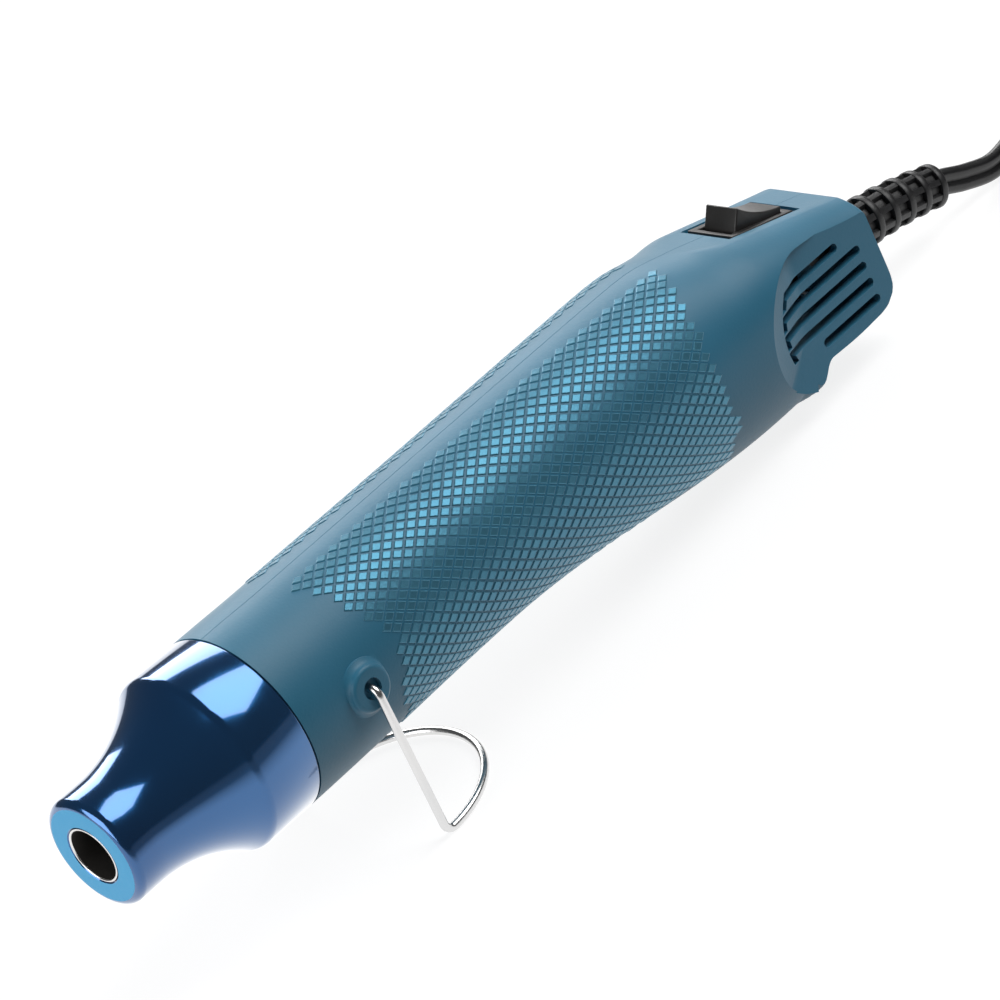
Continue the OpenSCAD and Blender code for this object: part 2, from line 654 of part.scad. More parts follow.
// SWITCH
well_half = rocker_half_w + 0.15;
well_len = 15.8;
well_depth = 6;
pivot_w = -0.8;
trunnion_r = 0.9;
module switch_body() {
    color([0.08, 0.08, 0.08]) on_pad() difference() {
        union() {
            translate([switch_mid - switch_len / 2, -switch_w / 2 - 1, -flange_t]) cube([switch_len, switch_w + 2, flange_t]);
            translate([switch_mid - switch_len / 2 + flange_edge, -switch_w / 2, -switch_depth])
                cube([switch_len - 2 * flange_edge, switch_w, switch_depth - eps]);
        }
        translate([switch_mid - well_len / 2, -well_half, -well_depth]) cube([well_len, 2 * well_half, well_depth + 1]);
        translate([switch_mid, -switch_w / 2 + 0.3, pivot_w - 2.2]) rotate([-90, 0, 0]) cylinder(r = trunnion_r + 0.1, h = switch_w - 0.6);
    }
}
rocker_half_len = 6.6;
rocker_end_h = 4.1;
rocker_dip = 1.1;
rocker_floor = 2.6;
dip_r = (rocker_half_len * rocker_half_len + rocker_dip * rocker_dip) / 2 / rocker_dip;
dip_turn = asin(rocker_half_len / dip_r);
trunnion_w = -2.2;
rocker_profile = concat([[-rocker_half_len - 0.3, -rocker_floor]],
    [for (i = [-3:3]) let (f = dip_turn * i / 3) [dip_r * sin(f), rocker_end_h - rocker_dip + dip_r * (1 - cos(f))]],
    [[rocker_half_len + 0.3, -rocker_floor], [rocker_half_len - 3, -rocker_floor - 0.8], [3 - rocker_half_len, -rocker_floor - 0.8]]);
// The rocker turns about trunnions just under the platform
module rocker() {
    color([0.05, 0.05, 0.05]) on_pad() translate([switch_mid, 0, pivot_w + trunnion_w]) rotate([0, rocker_tilt, 0])
        translate([0, 0, -trunnion_w]) {
            translate([0, rocker_half_w, 0]) rotate([90, 0, 0]) linear_extrude(height = 2 * rocker_half_w) polygon(rocker_profile);
            translate([0, -switch_w / 2 + 0.45, trunnion_w]) rotate([-90, 0, 0]) cylinder(r = trunnion_r, h = switch_w - 0.9);
        }
}
terminal_u = [6, 16];
terminal_w = 4.8;
terminal_len = 6;
module switch_terminals() {
    color([0.8, 0.65, 0.3]) on_pad() for (u = terminal_u)
        translate([u, -terminal_w / 2, -switch_depth - terminal_len - 0.05]) cube([0.8, terminal_w, terminal_len]);
}

// STAND
// Bent from one wire: two turned-in ends, two legs, and a half round base that lies on the table
leg_lean = 3;
leg_len = (stand_h - wire_bend * (1 + sin(leg_lean))) / cos(leg_lean);
base_x = -leg_len * sin(leg_lean) + wire_bend * cos(leg_lean);
foot_mid = [base_x, -stand_h + wire_bend];
pin_in_y = boss_in_y + 0.8;
// Half of the centre line, from the turned-in end to the tip of the base
half_wire = concat([[0, pin_in_y, 0]],
    [for (i = [0:4]) let (f = 22.5 * i) wire_bend * [-(1 - cos(f)) * sin(leg_lean), 0, -(1 - cos(f)) * cos(leg_lean)]
        + [0, stand_half_w - wire_bend + wire_bend * sin(f), 0]],
    [for (i = [0:4]) let (f = -90 - leg_lean - 90 + (90 + leg_lean) * i / 4)
        [foot_mid[0] + wire_bend * cos(f), stand_half_w, foot_mid[1] + wire_bend * sin(f)]],
    [for (i = [1:12]) let (f = 90 - 7.5 * i) [base_x + stand_half_w * cos(f), stand_half_w * sin(f), -stand_h]]);
wire_path = concat(half_wire, [for (i = [len(half_wire) - 2:-1:0]) [half_wire[i][0], -half_wire[i][1], half_wire[i][2]]]);
// Rings follow the wire without twisting
function across_to(v, t) = unit(v - (v * t) * t);
wire_sides = [for (i = 0, v = [1, 0, 0]; i < len(wire_path); i = i + 1,
    v = i < len(wire_path) ? across_to(v, heading(wire_path, i)) : v) v];
module stand_wire() {
    color([0.8, 0.8, 0.8]) translate([stand_x, 0, 0]) rotate([0, -lean, 0])
        loft([for (i = [0:len(wire_path) - 1]) let (a = wire_sides[i], b = cross(heading(wire_path, i), a))
            [for (f = [0:30:330]) wire_path[i] + wire_r * (cos(f) * a + sin(f) * b)]]);
}

// SCREWS
module housing_screws() {
    color([0.6, 0.6, 0.62]) for (p = posts) difference() {
        union() {
            cross_rod(p[0], p[1], screw_head_r, head_y + 0.05, head_y + 0.05 + screw_head_h, 1);
            cross_rod(p[0], p[1], screw_r, -screw_tip_y, head_y + 0.1, 1);
        }
        translate([p[0] - 2.2, head_y + screw_head_h - 0.7, p[1] - 0.35]) cube([4.4, 2, 0.7]);
        translate([p[0] - 0.35, head_y + screw_head_h - 0.7, p[1] - 2.2]) cube([0.7, 2, 4.4]);
    }
}
bar_t = 2;
module cord_clamp() {
    color([0.2, 0.2, 0.2]) difference() {
        translate([clamp_x - 2.4, clamp_y + 0.02, clamp_z[1] - 2.4]) cube([4.8, bar_t, clamp_z[0] - clamp_z[1] + 4.8]);
        for (z = clamp_z) cross_rod(clamp_x, z, clamp_screw_r + 0.3, clamp_y - 1, clamp_y + bar_t + 1, 1);
    }
}
module clamp_screws() {
    color([0.6, 0.6, 0.62]) for (z = clamp_z) {
        cross_rod(clamp_x, z, 2, clamp_y + bar_t + 0.05, clamp_y + bar_t + 1.3, 1);
        cross_rod(clamp_x, z, clamp_screw_r, -5, clamp_y + bar_t + 0.1, 1);
    }
}

// STRAIN RELIEF
rib_count = 5;
rib_w = 2.2;
bar_count = 8;
bar_w = 1.6;
core_share = 0.72;
// Collar and round tail of the strain relief inside the rear wall
collar_in = 3;
tail_in = 11.5;
tail_in_r = 3.3;
// The first rib clears the rear face in spite of the slope
rib_start = relief_r * sin(exit_slope) + gap;
rib_gap = (relief_len - rib_w - rib_start) / (rib_count - 1);
function rib_s(i) = rib_start + rib_w / 2 + rib_gap * i;
function rib_r(s) = relief_r + (relief_end_r - relief_r) * s / relief_len;
module strain_relief() {
    color([0.07, 0.07, 0.07]) {
        for (i = [0:rib_count - 1]) at_relief(rib_s(i)) rod(-rib_w / 2, rib_w, rib_r(rib_s(i)));
        for (i = [0:rib_count - 2]) at_relief(rib_s(i + 0.5)) {
            rod(-rib_gap / 2, rib_gap, rib_r(rib_s(i)) * core_share);
            for (a = [0:bar_count - 1]) rotate([360 * (a + 0.5) / bar_count, 0, 0])
                translate([-rib_gap / 2 + rib_w / 2 - 0.2, -bar_w / 2, 0]) cube([rib_gap - rib_w + 0.4, bar_w, rib_r(rib_s(i)) - 0.35]);
        }
        at_relief(-wall - collar_in) rod(0, wall + collar_in + rib_start + rib_w / 2, relief_neck_r);
        at_relief(-wall - collar_in) rod(0, collar_in - rib_start, relief_r);
        at_relief(-wall - tail_in) rod(0, tail_in, tail_in_r);
    }
}

// WIRES INSIDE
lead_r = 0.8;
board_rear = board_x + board_t;
// Distances from the rear face, then the place across and the height
lead_points = [[[0, tab_z + 1], [-40, 4, 4], [-33, 3, -4], [-29.4, 0, -6]],
    [[-17.4, 0, -8.2], [-16, 0, -8.4], [-14, 0, -8]],
    [[0, -tab_z - 1], [-40, -4, -13], [-26, -3, -13.5], [-18, -0.5, -11], [-14, 0, -9.4]]];
leads = [for (w = lead_points) [for (q = w) len(q) == 2 ? [board_rear + 3.4, q[0], q[1]] : [body_len + q[0], q[1], q[2]]]];
module lead_wires() {
    color([0.75, 0.1, 0.1]) for (w = leads) swept(curve(w, 5), round_section(lead_r, 8));
}

// CORD
// Section of the flat twin cord, with a groove on each side
groove = 0.45;
twin = cord_t / 2;
lobe = cord_w / 2 - twin;
cord_section = concat([for (f = [20, 55, 90, 125, 160]) [twin * cos(f), lobe + twin * sin(f)]],
    [[-twin + groove, 0]], [for (f = [200, 235, 270, 305, 340]) [twin * cos(f), -lobe + twin * sin(f)]],
    [[twin - groove, 0]]);
// End of the strain relief, in the standing frame
end_x = relief_x(relief_len);
end_z = relief_z(relief_len);
end_slope = lean + relief_slope(relief_len);
cord_start = [end_x * cos(lean) + end_z * sin(lean) - shift, 0, -end_x * sin(lean) + end_z * cos(lean) + lift]
    + gap * [cos(end_slope), 0, -sin(end_slope)];
cord_first = cord_start + 3 * [cos(end_slope), 0, -sin(end_slope)];
lay_z = cord_w / 2 + 0.1;
// Stored rest of the cord: a neat coil on the table
coil_at = [cord_start[0] + 69.6, -19];
coil_out_r = 40;
coil_in_r = 27;
coil_bottom = 1;
coil_top = coil_bottom + 2 * cord_w + 0.2;
coil_edge = 1.4;
beside = coil_out_r + cord_t / 2 + gap;
function beside_coil(f, z) = [coil_at[0] + beside * cos(f), coil_at[1] + beside * sin(f), z];
// Distances from the start of the cord, then the place across and the height
first_bend = [[8.6, -0.4, 6.8], [16.6, -0.4, lay_z + 0.5], [26.1, 1.1, lay_z], [33.4, 4.6, lay_z]];
route = concat([cord_start, cord_first], [for (q = first_bend) [cord_start[0] + q[0], q[1], q[2]]],
    [for (f = [137, 121, 105, 90]) beside_coil(f, lay_z)]);
module cord_tube() {
    color([0.08, 0.08, 0.08]) swept(curve(route, 4), cord_section);
}
module cord_coil() {
    color([0.08, 0.08, 0.08]) translate([coil_at[0], coil_at[1], coil_bottom]) rotate_extrude($fn = 64)
        polygon([[coil_in_r, coil_edge], [coil_in_r + coil_edge, 0], [coil_out_r - coil_edge, 0], [coil_out_r, coil_edge],
            [coil_out_r, coil_top - coil_bottom - coil_edge], [coil_out_r - coil_edge, coil_top - coil_bottom],
            [coil_in_r + coil_edge, coil_top - coil_bottom], [coil_in_r, coil_top - coil_bottom - coil_edge]]);
}
tie_t = 0.8;
tie_w = 5;
tie_angle = -60;
module cord_tie() {
    color([0.15, 0.15, 0.15]) translate([coil_at[0], coil_at[1], 0]) rotate([0, 0, tie_angle]) difference() {
        translate([coil_in_r - gap - tie_t, -tie_w / 2, coil_bottom - gap - tie_t])
            cube([coil_out_r - coil_in_r + 2 * (gap + tie_t) + 0.4, tie_w, coil_top - coil_bottom + 2 * (gap + tie_t)]);
        translate([coil_in_r - gap - 0.2, -tie_w, coil_bottom - gap])
            cube([coil_out_r - coil_in_r + 2 * gap + 0.4, 2 * tie_w, coil_top - coil_bottom + 2 * gap]);
    }
}
// Plug for a two-blade outlet, lying on the coil
plug_w = 22;
plug_h = 15;
plug_len = 12;
plug_waist_len = 12;
nose_len = 14;
nose_r = 3.6;
nose_base_r = 5;
// The cord's tail leaves the coil's outside, climbs over its edge and turns to the plug
turn_r = 25;
turn_x = coil_at[0] - beside + turn_r;
plug_at = [turn_x, coil_at[1] + turn_r, coil_top + plug_h / 2 + 0.05];
function over_coil(f, z) = [turn_x + turn_r * cos(f), coil_at[1] + turn_r * sin(f), z];
tail_turn = 240;
tail_route = [beside_coil(tail_turn, 10), beside_coil(225, 11.6), beside_coil(210, 14.4), beside_coil(195, 16.6),
    over_coil(180, 17.4), over_coil(155, 18.4), over_coil(130, 19.8), over_coil(108, 20.9), plug_at - [3, 0, 0], plug_at - [gap, 0, 0]];
module cord_tail() {
    color([0.08, 0.08, 0.08]) swept(curve(tail_route, 4), cord_section);
}
module on_plug() {
    translate(plug_at) children();
}
module plug_body() {
    color([0.08, 0.08, 0.08]) on_plug() {
        rotate([0, 90, 0]) cylinder(r1 = nose_r, r2 = nose_base_r, h = nose_len);
        translate([nose_len - eps, -plug_w / 2 + 2.5, -plug_h / 2 + 1.6]) cube([plug_waist_len, plug_w - 5, plug_h - 3.2]);
        translate([nose_len + plug_waist_len - 2 * eps, -plug_w / 2, -plug_h / 2]) cube([plug_len, plug_w, plug_h]);
    }
}
blade_gap = 12.7;
plug_blade = [16, 1.5, 6.35];
module plug_blades() {
    color([0.8, 0.7, 0.4]) on_plug() for (y = [-1, 1]) difference() {
        translate([nose_len + plug_waist_len + plug_len, y * blade_gap / 2 - plug_blade[1] / 2, -plug_blade[2] / 2]) cube(plug_blade);
        translate([nose_len + plug_waist_len + plug_len + 12, y * blade_gap / 2 - 2, 0]) rotate([-90, 0, 0]) cylinder(r = 1.6, h = 4);
    }
}

set_down() housing_left();
set_down() housing_right();
set_down() nozzle();
set_down() outlet_tube();
set_down() mica_sleeve();
set_down() heater_former();
set_down() heating_coil();
set_down() heater_disc();
set_down() thermal_cutout();
set_down() motor_mount();
set_down() motor_can();
set_down() motor_magnets();
set_down() motor_armature();
set_down() motor_end_cap();
set_down() motor_terminals();
set_down() motor_shaft();
set_down() fan();
set_down() rectifier_board();
set_down() rectifier_diodes();
set_down() switch_body();
set_down() switch_terminals();
set_down() rocker();
set_down() stand_wire();
set_down() housing_screws();
set_down() strain_relief();
set_down() cord_clamp();
set_down() clamp_screws();
set_down() lead_wires();
cord_tube();
cord_coil();
cord_tail();
cord_tie();
plug_body();
plug_blades();
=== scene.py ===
import math

import bmesh
import bpy
from mathutils import Matrix, Vector


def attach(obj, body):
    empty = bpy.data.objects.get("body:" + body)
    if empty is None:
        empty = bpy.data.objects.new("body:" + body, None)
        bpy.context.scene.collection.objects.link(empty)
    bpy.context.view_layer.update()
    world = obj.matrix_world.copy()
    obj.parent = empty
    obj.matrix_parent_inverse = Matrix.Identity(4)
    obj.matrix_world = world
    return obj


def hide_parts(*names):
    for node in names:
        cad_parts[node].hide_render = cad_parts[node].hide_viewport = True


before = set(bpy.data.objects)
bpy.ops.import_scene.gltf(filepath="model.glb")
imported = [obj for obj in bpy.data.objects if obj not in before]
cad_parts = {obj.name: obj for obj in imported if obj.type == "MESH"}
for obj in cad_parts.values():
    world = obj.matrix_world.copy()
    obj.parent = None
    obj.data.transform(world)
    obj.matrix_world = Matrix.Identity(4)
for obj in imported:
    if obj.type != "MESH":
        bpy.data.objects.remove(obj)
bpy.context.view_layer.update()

# Sizes in millimetres in the tool's own axes, as the CAD source has them
NOZZLE_LEN, SEAM, BODY_LEN, WALL = 46.0, 0.3, 236.0, 2.0
TIP_R, RIM_R, NECK_LEN, FLARE_R, FRONT_R, COLLAR_EDGE_R = 13.5, 2.0, 8.0, 36.0, 22.3, 3.0
TOP_R, WAIST_X, WAIST_HALF_W, WAIST_DEPTH = 22.0, 112.0, 21.6, 21.1
BELLY_X, BELLY_HALF_W, BELLY_DEPTH = 198.0, 22.8, 29.5
TAIL_HALF_W, TAIL_DEPTH, TAIL_HOOK, TAIL_TAPER, CORNER_R = 17.0, 19.4, 1.6, 4.3, 6.0
PAD_TILT, PAD_X, PAD_Z, PAD_HALF_W, PAD_SPREAD = math.radians(16.1), 203.0, 16.6, 9.5, 1.3
STEP_X, STEP_LEN = BELLY_X + 6, 9.0
STAND_X, STAND_H, STAND_HALF_W, WIRE_R, WIRE_BEND = 64.5, 38.3, 25.2, 1.0, 2.2
RELIEF_LEN, RELIEF_BEND, RELIEF_R, RELIEF_END_R = 34.0, 14.0, 5.8, 5.0
EXIT_Z, EXIT_SLOPE = -7.3, 4.0
CORD_W, CORD_T = 6.2, 3.2
SWITCH_MID, SWITCH_LEN, SWITCH_W = 10.8, 18.8, 12.6
RECESS_X, RECESS_LEN, RECESS_W, RECESS_DEPTH = PAD_X + 3.3, 21.6, 16.0, 0.8
SCREW_POSTS = ((84, 14), (84, -14), (190, -22.5), (193, 12))

# The tool leans back on its stand
REACH = STEP_X - STAND_X
LEAN = (math.asin((STAND_H + WIRE_R) / math.hypot(REACH, BELLY_DEPTH)) - math.atan2(BELLY_DEPTH, REACH))
LIFT = STAND_X * math.sin(LEAN) + STAND_H + WIRE_R


def relief_point(s):
    """Centre line of the strain relief at the distance s, and its slope in radians."""
    r = RELIEF_LEN / math.radians(RELIEF_BEND)
    a, b = math.radians(EXIT_SLOPE), math.radians(EXIT_SLOPE + RELIEF_BEND * s / RELIEF_LEN)
    return BODY_LEN + r * (math.sin(b) - math.sin(a)), EXIT_Z - r * (math.cos(a) - math.cos(b)), b


END_X, END_Z, END_SLOPE = relief_point(RELIEF_LEN)
FRONT = RIM_R * math.cos(LEAN) - (TIP_R - RIM_R) * math.sin(LEAN) - RIM_R
REAR = END_X * math.cos(LEAN) + END_Z * math.sin(LEAN) + RELIEF_END_R * math.sin(LEAN + END_SLOPE)
SHIFT = (FRONT + REAR) / 2


def turned(v):
    """A direction in the tool's own axes, in the standing frame."""
    return Vector((v[0] * math.cos(LEAN) + v[2] * math.sin(LEAN), v[1],
                   -v[0] * math.sin(LEAN) + v[2] * math.cos(LEAN)))


def at(x, y, z):
    """A point in the tool's own axes in millimetres, as a place in the scene in metres."""
    v = turned((x, y, z))
    return Vector((v.x - SHIFT, v.y, v.z + LIFT)) / 1000


def ease(t):
    """A smooth rise from 0 to 1 as t goes from 0 to 1, and level outside."""
    return (1 - math.cos(math.pi * min(max(t, 0), 1))) / 2


def circle(n):
    """Cosine and sine of each of the n points of a circle."""
    return [(math.cos(2 * math.pi * i / n), math.sin(2 * math.pi * i / n)) for i in range(n)]


# Camera
CAMERA_AT = (-764.6, -1366.3, 834.7)
CAMERA_AIM = (0.487208, 0.745098, -0.455474)
CAMERA_RIGHT = (0.655315, -0.656680, -0.373273)
CAMERA_LENS = 306.88


def make_camera():
    cam = bpy.data.objects.new("camera", bpy.data.cameras.new("camera"))
    bpy.context.scene.collection.objects.link(cam)
    aim, right = turned(CAMERA_AIM).normalized(), turned(CAMERA_RIGHT).normalized()
    up = right.cross(aim).normalized()
    turn = Matrix((right, up, -aim)).transposed().to_4x4()
    cam.matrix_world = Matrix.Translation(at(*CAMERA_AT)) @ turn
    cam.data.lens = CAMERA_LENS
    cam.data.sensor_width = 36
    cam.data.clip_end = 20
    bpy.context.scene.camera = cam


make_camera()


# Mesh helpers
def new_mesh(name, verts, faces, finish, smooth_deg=35, body="tool", merge_at=None):
    """A piece from points in metres, shaded smooth up to the given angle."""
    mesh = bpy.data.meshes.new(name)
    mesh.from_pydata([tuple(v) for v in verts], [], faces)
    mesh.update()
    obj = bpy.data.objects.new(name, mesh)
    bpy.context.scene.collection.objects.link(obj)
    obj.data.materials.append(finish)
    if merge_at:
        merge(obj, merge_at)
    smooth_edges(obj, smooth_deg)
    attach(obj, body)
    return obj


def smooth_edges(obj, smooth_deg):
    bm = bmesh.new()
    bm.from_mesh(obj.data)
    limit = math.radians(smooth_deg)
    for face in bm.faces:
        face.smooth = True
    for edge in bm.edges:
        edge.smooth = len(edge.link_faces) != 2 or edge.calc_face_angle(0.0) < limit
    bm.to_mesh(obj.data)
    bm.free()


def loft(rings, cap=True):
    """Faces through closed rings of points that all have the same count."""
    n = len(rings[0])
    verts = [p for ring in rings for p in ring]
    faces = []
    for j in range(len(rings) - 1):
        for i in range(n):
            a, b = j * n + i, j * n + (i + 1) % n
            faces.append((a, b, b + n, a + n))
    if cap:
        faces.append(tuple(range(n - 1, -1, -1)))
        faces.append(tuple((len(rings) - 1) * n + i for i in range(n)))
    return verts, faces


def revolve(profile, steps):
    """Faces of a closed profile of (place, radius) points turned about the tool's axis."""
    rings = [[at(x, r * c, r * s) for c, s in circle(steps)] for x, r in profile]
    return loft(rings + rings[:1], cap=False)


def merge(obj, distance):
    """Joins points that lie together and turns all faces outward."""
    bm = bmesh.new()
    bm.from_mesh(obj.data)
    bmesh.ops.remove_doubles(bm, verts=bm.verts, dist=distance)
    bmesh.ops.recalc_face_normals(bm, faces=bm.faces)
    bm.to_mesh(obj.data)
    bm.free()


def apply_modifiers(obj):
    graph = bpy.context.evaluated_depsgraph_get()
    mesh = bpy.data.meshes.new_from_object(obj.evaluated_get(graph))
    obj.modifiers.clear()
    old = obj.data
    obj.data = mesh
    bpy.data.meshes.remove(old)


def bevel(obj, width, segments, angle):
    """Rounds the edges of a piece that are sharper than the angle, with a width in millimetres."""
    mod = obj.modifiers.new("bevel", "BEVEL")
    mod.width = width / 1000
    mod.segments = segments
    mod.limit_method = "ANGLE"
    mod.angle_limit = math.radians(angle)
    apply_modifiers(obj)
    smooth_edges(obj, 40)


def cut(obj, parts, operation):
    """Joins the parts to the piece or takes them out of it."""
    verts, faces = [], []
    for v, f in parts:
        faces += [tuple(i + len(verts) for i in face) for face in f]
        verts += v
    mesh = bpy.data.meshes.new("cutter")
    mesh.from_pydata([tuple(v) for v in verts], [], faces)
    bm = bmesh.new()
    bm.from_mesh(mesh)
    bmesh.ops.recalc_face_normals(bm, faces=bm.faces)
    bm.to_mesh(mesh)
    bm.free()
    cutter = bpy.data.objects.new("cutter", mesh)
    bpy.context.scene.collection.objects.link(cutter)
    mod = obj.modifiers.new("cut", "BOOLEAN")
    mod.operation = operation
    mod.solver = "EXACT"
    mod.object = cutter
    apply_modifiers(obj)
    bpy.data.objects.remove(cutter)
    bpy.data.meshes.remove(mesh)


# Materials
SHEEN_ROUGH = 0.4
GRAIN_DEPTH = 0.0002


def material(name, color, rough, metal=0.0, coat=0.0, coat_rough=0.1, spec=0.5, sheen=0.0):
    mat = bpy.data.materials.new(name)
    mat.use_nodes = True
    shader = mat.node_tree.nodes["Principled BSDF"]
    shader.inputs["Base Color"].default_value = (*color, 1)
    shader.inputs["Roughness"].default_value = rough
    shader.inputs["Metallic"].default_value = metal
    shader.inputs["Coat Weight"].default_value = coat
    shader.inputs["Coat Roughness"].default_value = coat_rough
    shader.inputs["Specular IOR Level"].default_value = spec
    shader.inputs["Sheen Weight"].default_value = sheen
    shader.inputs["Sheen Roughness"].default_value = SHEEN_ROUGH
    return mat


def grained(name, color, rough, grain, rough_span, tints, tint_scale=40, **surface):
    """A material with fine grain, and with roughness and colour that vary a little.

    The grain is its scale and strength, and the tints are the two colours of the patches.
    """
    mat = material(name, color, rough, **surface)
    nodes, links = mat.node_tree.nodes, mat.node_tree.links
    shader = nodes["Principled BSDF"]
    coords = nodes.new("ShaderNodeTexCoord")
    noise = nodes.new("ShaderNodeTexNoise")
    noise.inputs["Scale"].default_value = grain[0]
    noise.inputs["Detail"].default_value = 3
    links.new(coords.outputs["Object"], noise.inputs["Vector"])
    bump = nodes.new("ShaderNodeBump")
    bump.inputs["Strength"].default_value = grain[1]
    bump.inputs["Distance"].default_value = GRAIN_DEPTH
    links.new(noise.outputs["Fac"], bump.inputs["Height"])
    links.new(bump.outputs["Normal"], shader.inputs["Normal"])
    spread = nodes.new("ShaderNodeMapRange")
    spread.inputs["To Min"].default_value = rough_span[0]
    spread.inputs["To Max"].default_value = rough_span[1]
    links.new(noise.outputs["Fac"], spread.inputs["Value"])
    links.new(spread.outputs["Result"], shader.inputs["Roughness"])
    patches = nodes.new("ShaderNodeTexNoise")
    patches.inputs["Scale"].default_value = tint_scale
    ramp = nodes.new("ShaderNodeValToRGB")
    for stop, place, tint in zip(ramp.color_ramp.elements, (0.35, 0.65), tints):
        stop.position = place
        stop.color = (*tint, 1)
    links.new(coords.outputs["Object"], patches.inputs["Vector"])
    links.new(patches.outputs["Fac"], ramp.inputs["Fac"])
    links.new(ramp.outputs["Color"], shader.inputs["Base Color"])
    return mat


housing_mat = grained("housing", (0.02, 0.165, 0.275), 0.5, (1500, 0.15), (0.46, 0.54),
                      ((0.018, 0.157, 0.262), (0.022, 0.172, 0.287)), sheen=0.35)
grip_mat = grained("grip", (0.03, 0.19, 0.29), 0.36, (2500, 0.25), (0.34, 0.44),
                   ((0.030, 0.18, 0.28), (0.036, 0.20, 0.30)),
                   metal=0.6, coat=0.5, coat_rough=0.5, sheen=0.25)
nozzle_mat = grained("nozzle", (0.010, 0.09, 0.26), 0.14, (300, 0.02), (0.11, 0.18),
                     ((0.008, 0.080, 0.24), (0.012, 0.105, 0.29)), 25, metal=0.8, coat=1.0, coat_rough=0.04)
face_mat = grained("outlet_face", (0.058, 0.38, 0.69), 0.5, (900, 0.1), (0.45, 0.55),
                   ((0.054, 0.365, 0.675), (0.062, 0.395, 0.705)))
# Near-black steel for the inner wall of the outlet pipe: painted shade inside the bore.
bore_shade_mat = grained("painted_bore_shade", (0.02, 0.018, 0.017), 0.6, (700, 0.1), (0.5, 0.7),
                   ((0.016, 0.015, 0.014), (0.03, 0.027, 0.025)), 90, metal=0.5)
steel_mat = grained("steel", (0.62, 0.62, 0.62), 0.22, (900, 0.06), (0.18, 0.3),
                    ((0.60, 0.60, 0.60), (0.66, 0.65, 0.64)), metal=1.0)
plastic_mat = grained("black_plastic", (0.016, 0.015, 0.015), 0.38, (1800, 0.12), (0.33, 0.45),
                      ((0.014, 0.013, 0.013), (0.019, 0.018, 0.017)))
rubber_mat = grained("black_rubber", (0.012, 0.012, 0.013), 0.42, (1600, 0.15), (0.36, 0.5),
                     ((0.010, 0.010, 0.011), (0.015, 0.015, 0.016)))
cord_mat = grained("cord_jacket", (0.011, 0.011, 0.012), 0.33, (1200, 0.1), (0.28, 0.4),
                   ((0.010, 0.010, 0.011), (0.014, 0.014, 0.015)))
mica_mat = grained("mica", (0.60, 0.48, 0.30), 0.5, (400, 0.2), (0.4, 0.6),
                   ((0.55, 0.43, 0.26), (0.66, 0.54, 0.36)), 120)
brass_mat = grained("brass", (0.72, 0.52, 0.20), 0.3, (900, 0.08), (0.25, 0.4),
                    ((0.68, 0.49, 0.19), (0.75, 0.55, 0.24)), metal=1.0)
copper_mat = grained("copper", (0.55, 0.22, 0.09), 0.35, (1200, 0.2), (0.3, 0.45),
                     ((0.50, 0.20, 0.08), (0.60, 0.26, 0.11)), metal=1.0)
magnet_mat = grained("magnet", (0.04, 0.04, 0.042), 0.6, (800, 0.2), (0.5, 0.7),
                     ((0.035, 0.035, 0.037), (0.05, 0.05, 0.052)))
board_mat = grained("board", (0.02, 0.16, 0.07), 0.35, (700, 0.1), (0.3, 0.45),
                    ((0.018, 0.14, 0.06), (0.025, 0.19, 0.08)), 200)
white_mat = grained("white_plastic", (0.72, 0.71, 0.68), 0.45, (1500, 0.1), (0.4, 0.5),
                    ((0.70, 0.69, 0.66), (0.75, 0.74, 0.71)))

# Finishes of the CAD nodes that keep their shape
NODE_FINISHES = (
    (mica_mat, ("mica_sleeve", "heater_former", "heater_disc")),
    (steel_mat, ("heating_coil", "thermal_cutout", "motor_can", "motor_shaft",
                 "housing_screws", "clamp_screws")),
    (plastic_mat, ("motor_mount", "fan", "rectifier_diodes", "cord_clamp")),
    (magnet_mat, ("motor_magnets",)),
    (copper_mat, ("motor_armature",)),
    (white_mat, ("motor_end_cap",)),
    (brass_mat, ("motor_terminals", "switch_terminals", "plug_blades")),
    (board_mat, ("rectifier_board",)),
    (rubber_mat, ("lead_wires",)))
for finish, names in NODE_FINISHES:
    for name in names:
        slots = bpy.data.objects[name].data.materials
        slots.clear()
        slots.append(finish)


# Cord
CORD_GAP = 0.1
LAY_Z = CORD_W / 2 + CORD_GAP
CORD_SLOPE = LEAN + END_SLOPE
CORD_X = at(END_X, 0, END_Z).x * 1000 + CORD_GAP * math.cos(CORD_SLOPE)
COIL_X, COIL_Y, COIL_OUT_R, COIL_TOP = CORD_X + 69.6, -19.0, 40.0, 13.6
BESIDE = COIL_OUT_R + CORD_T / 2 + CORD_GAP
LOW_Z, HIGH_Z, LAYER_CHANGE = 4.05, 10.35, 0.24
TAIL_TURN = 240
SPIRAL_START_R, SPIRAL_PITCH, RUN_IN, RUN_OUT, RUN_OUT_DROP = 38.4, 3.25, 0.35, 0.1, 0.35
TURNS = 6 + (450 - TAIL_TURN) / 360
HALF_TURNS = TURNS / 2
TURN_R = 25.0
TURN_X = COIL_X - BESIDE + TURN_R
PLUG_HALF_H = 7.5
PLUG_AT = (TURN_X, COIL_Y + TURN_R, COIL_TOP + PLUG_HALF_H + 0.05)
LOBE_POINTS, LOBE_FROM, LOBE_STEP, CORD_GROOVE = 17, -38, 16, 0.62


def curve_through(points, n):
    """Smooth curve through the points, with n steps between each pair."""
    out = []
    for i in range(len(points) - 1):
        a, b, c = points[max(i - 1, 0)], points[i], points[i + 1]
        d = points[min(i + 2, len(points) - 1)]
        for j in range(n):
            t = j / n
            out.append(tuple((2 * b[k] + (c[k] - a[k]) * t + (2 * a[k] - 5 * b[k] + 4 * c[k] - d[k]) * t * t
                              + (3 * b[k] - a[k] - 3 * c[k] + d[k]) * t ** 3) / 2 for k in range(3)))
    out.append(tuple(points[-1]))
    return out


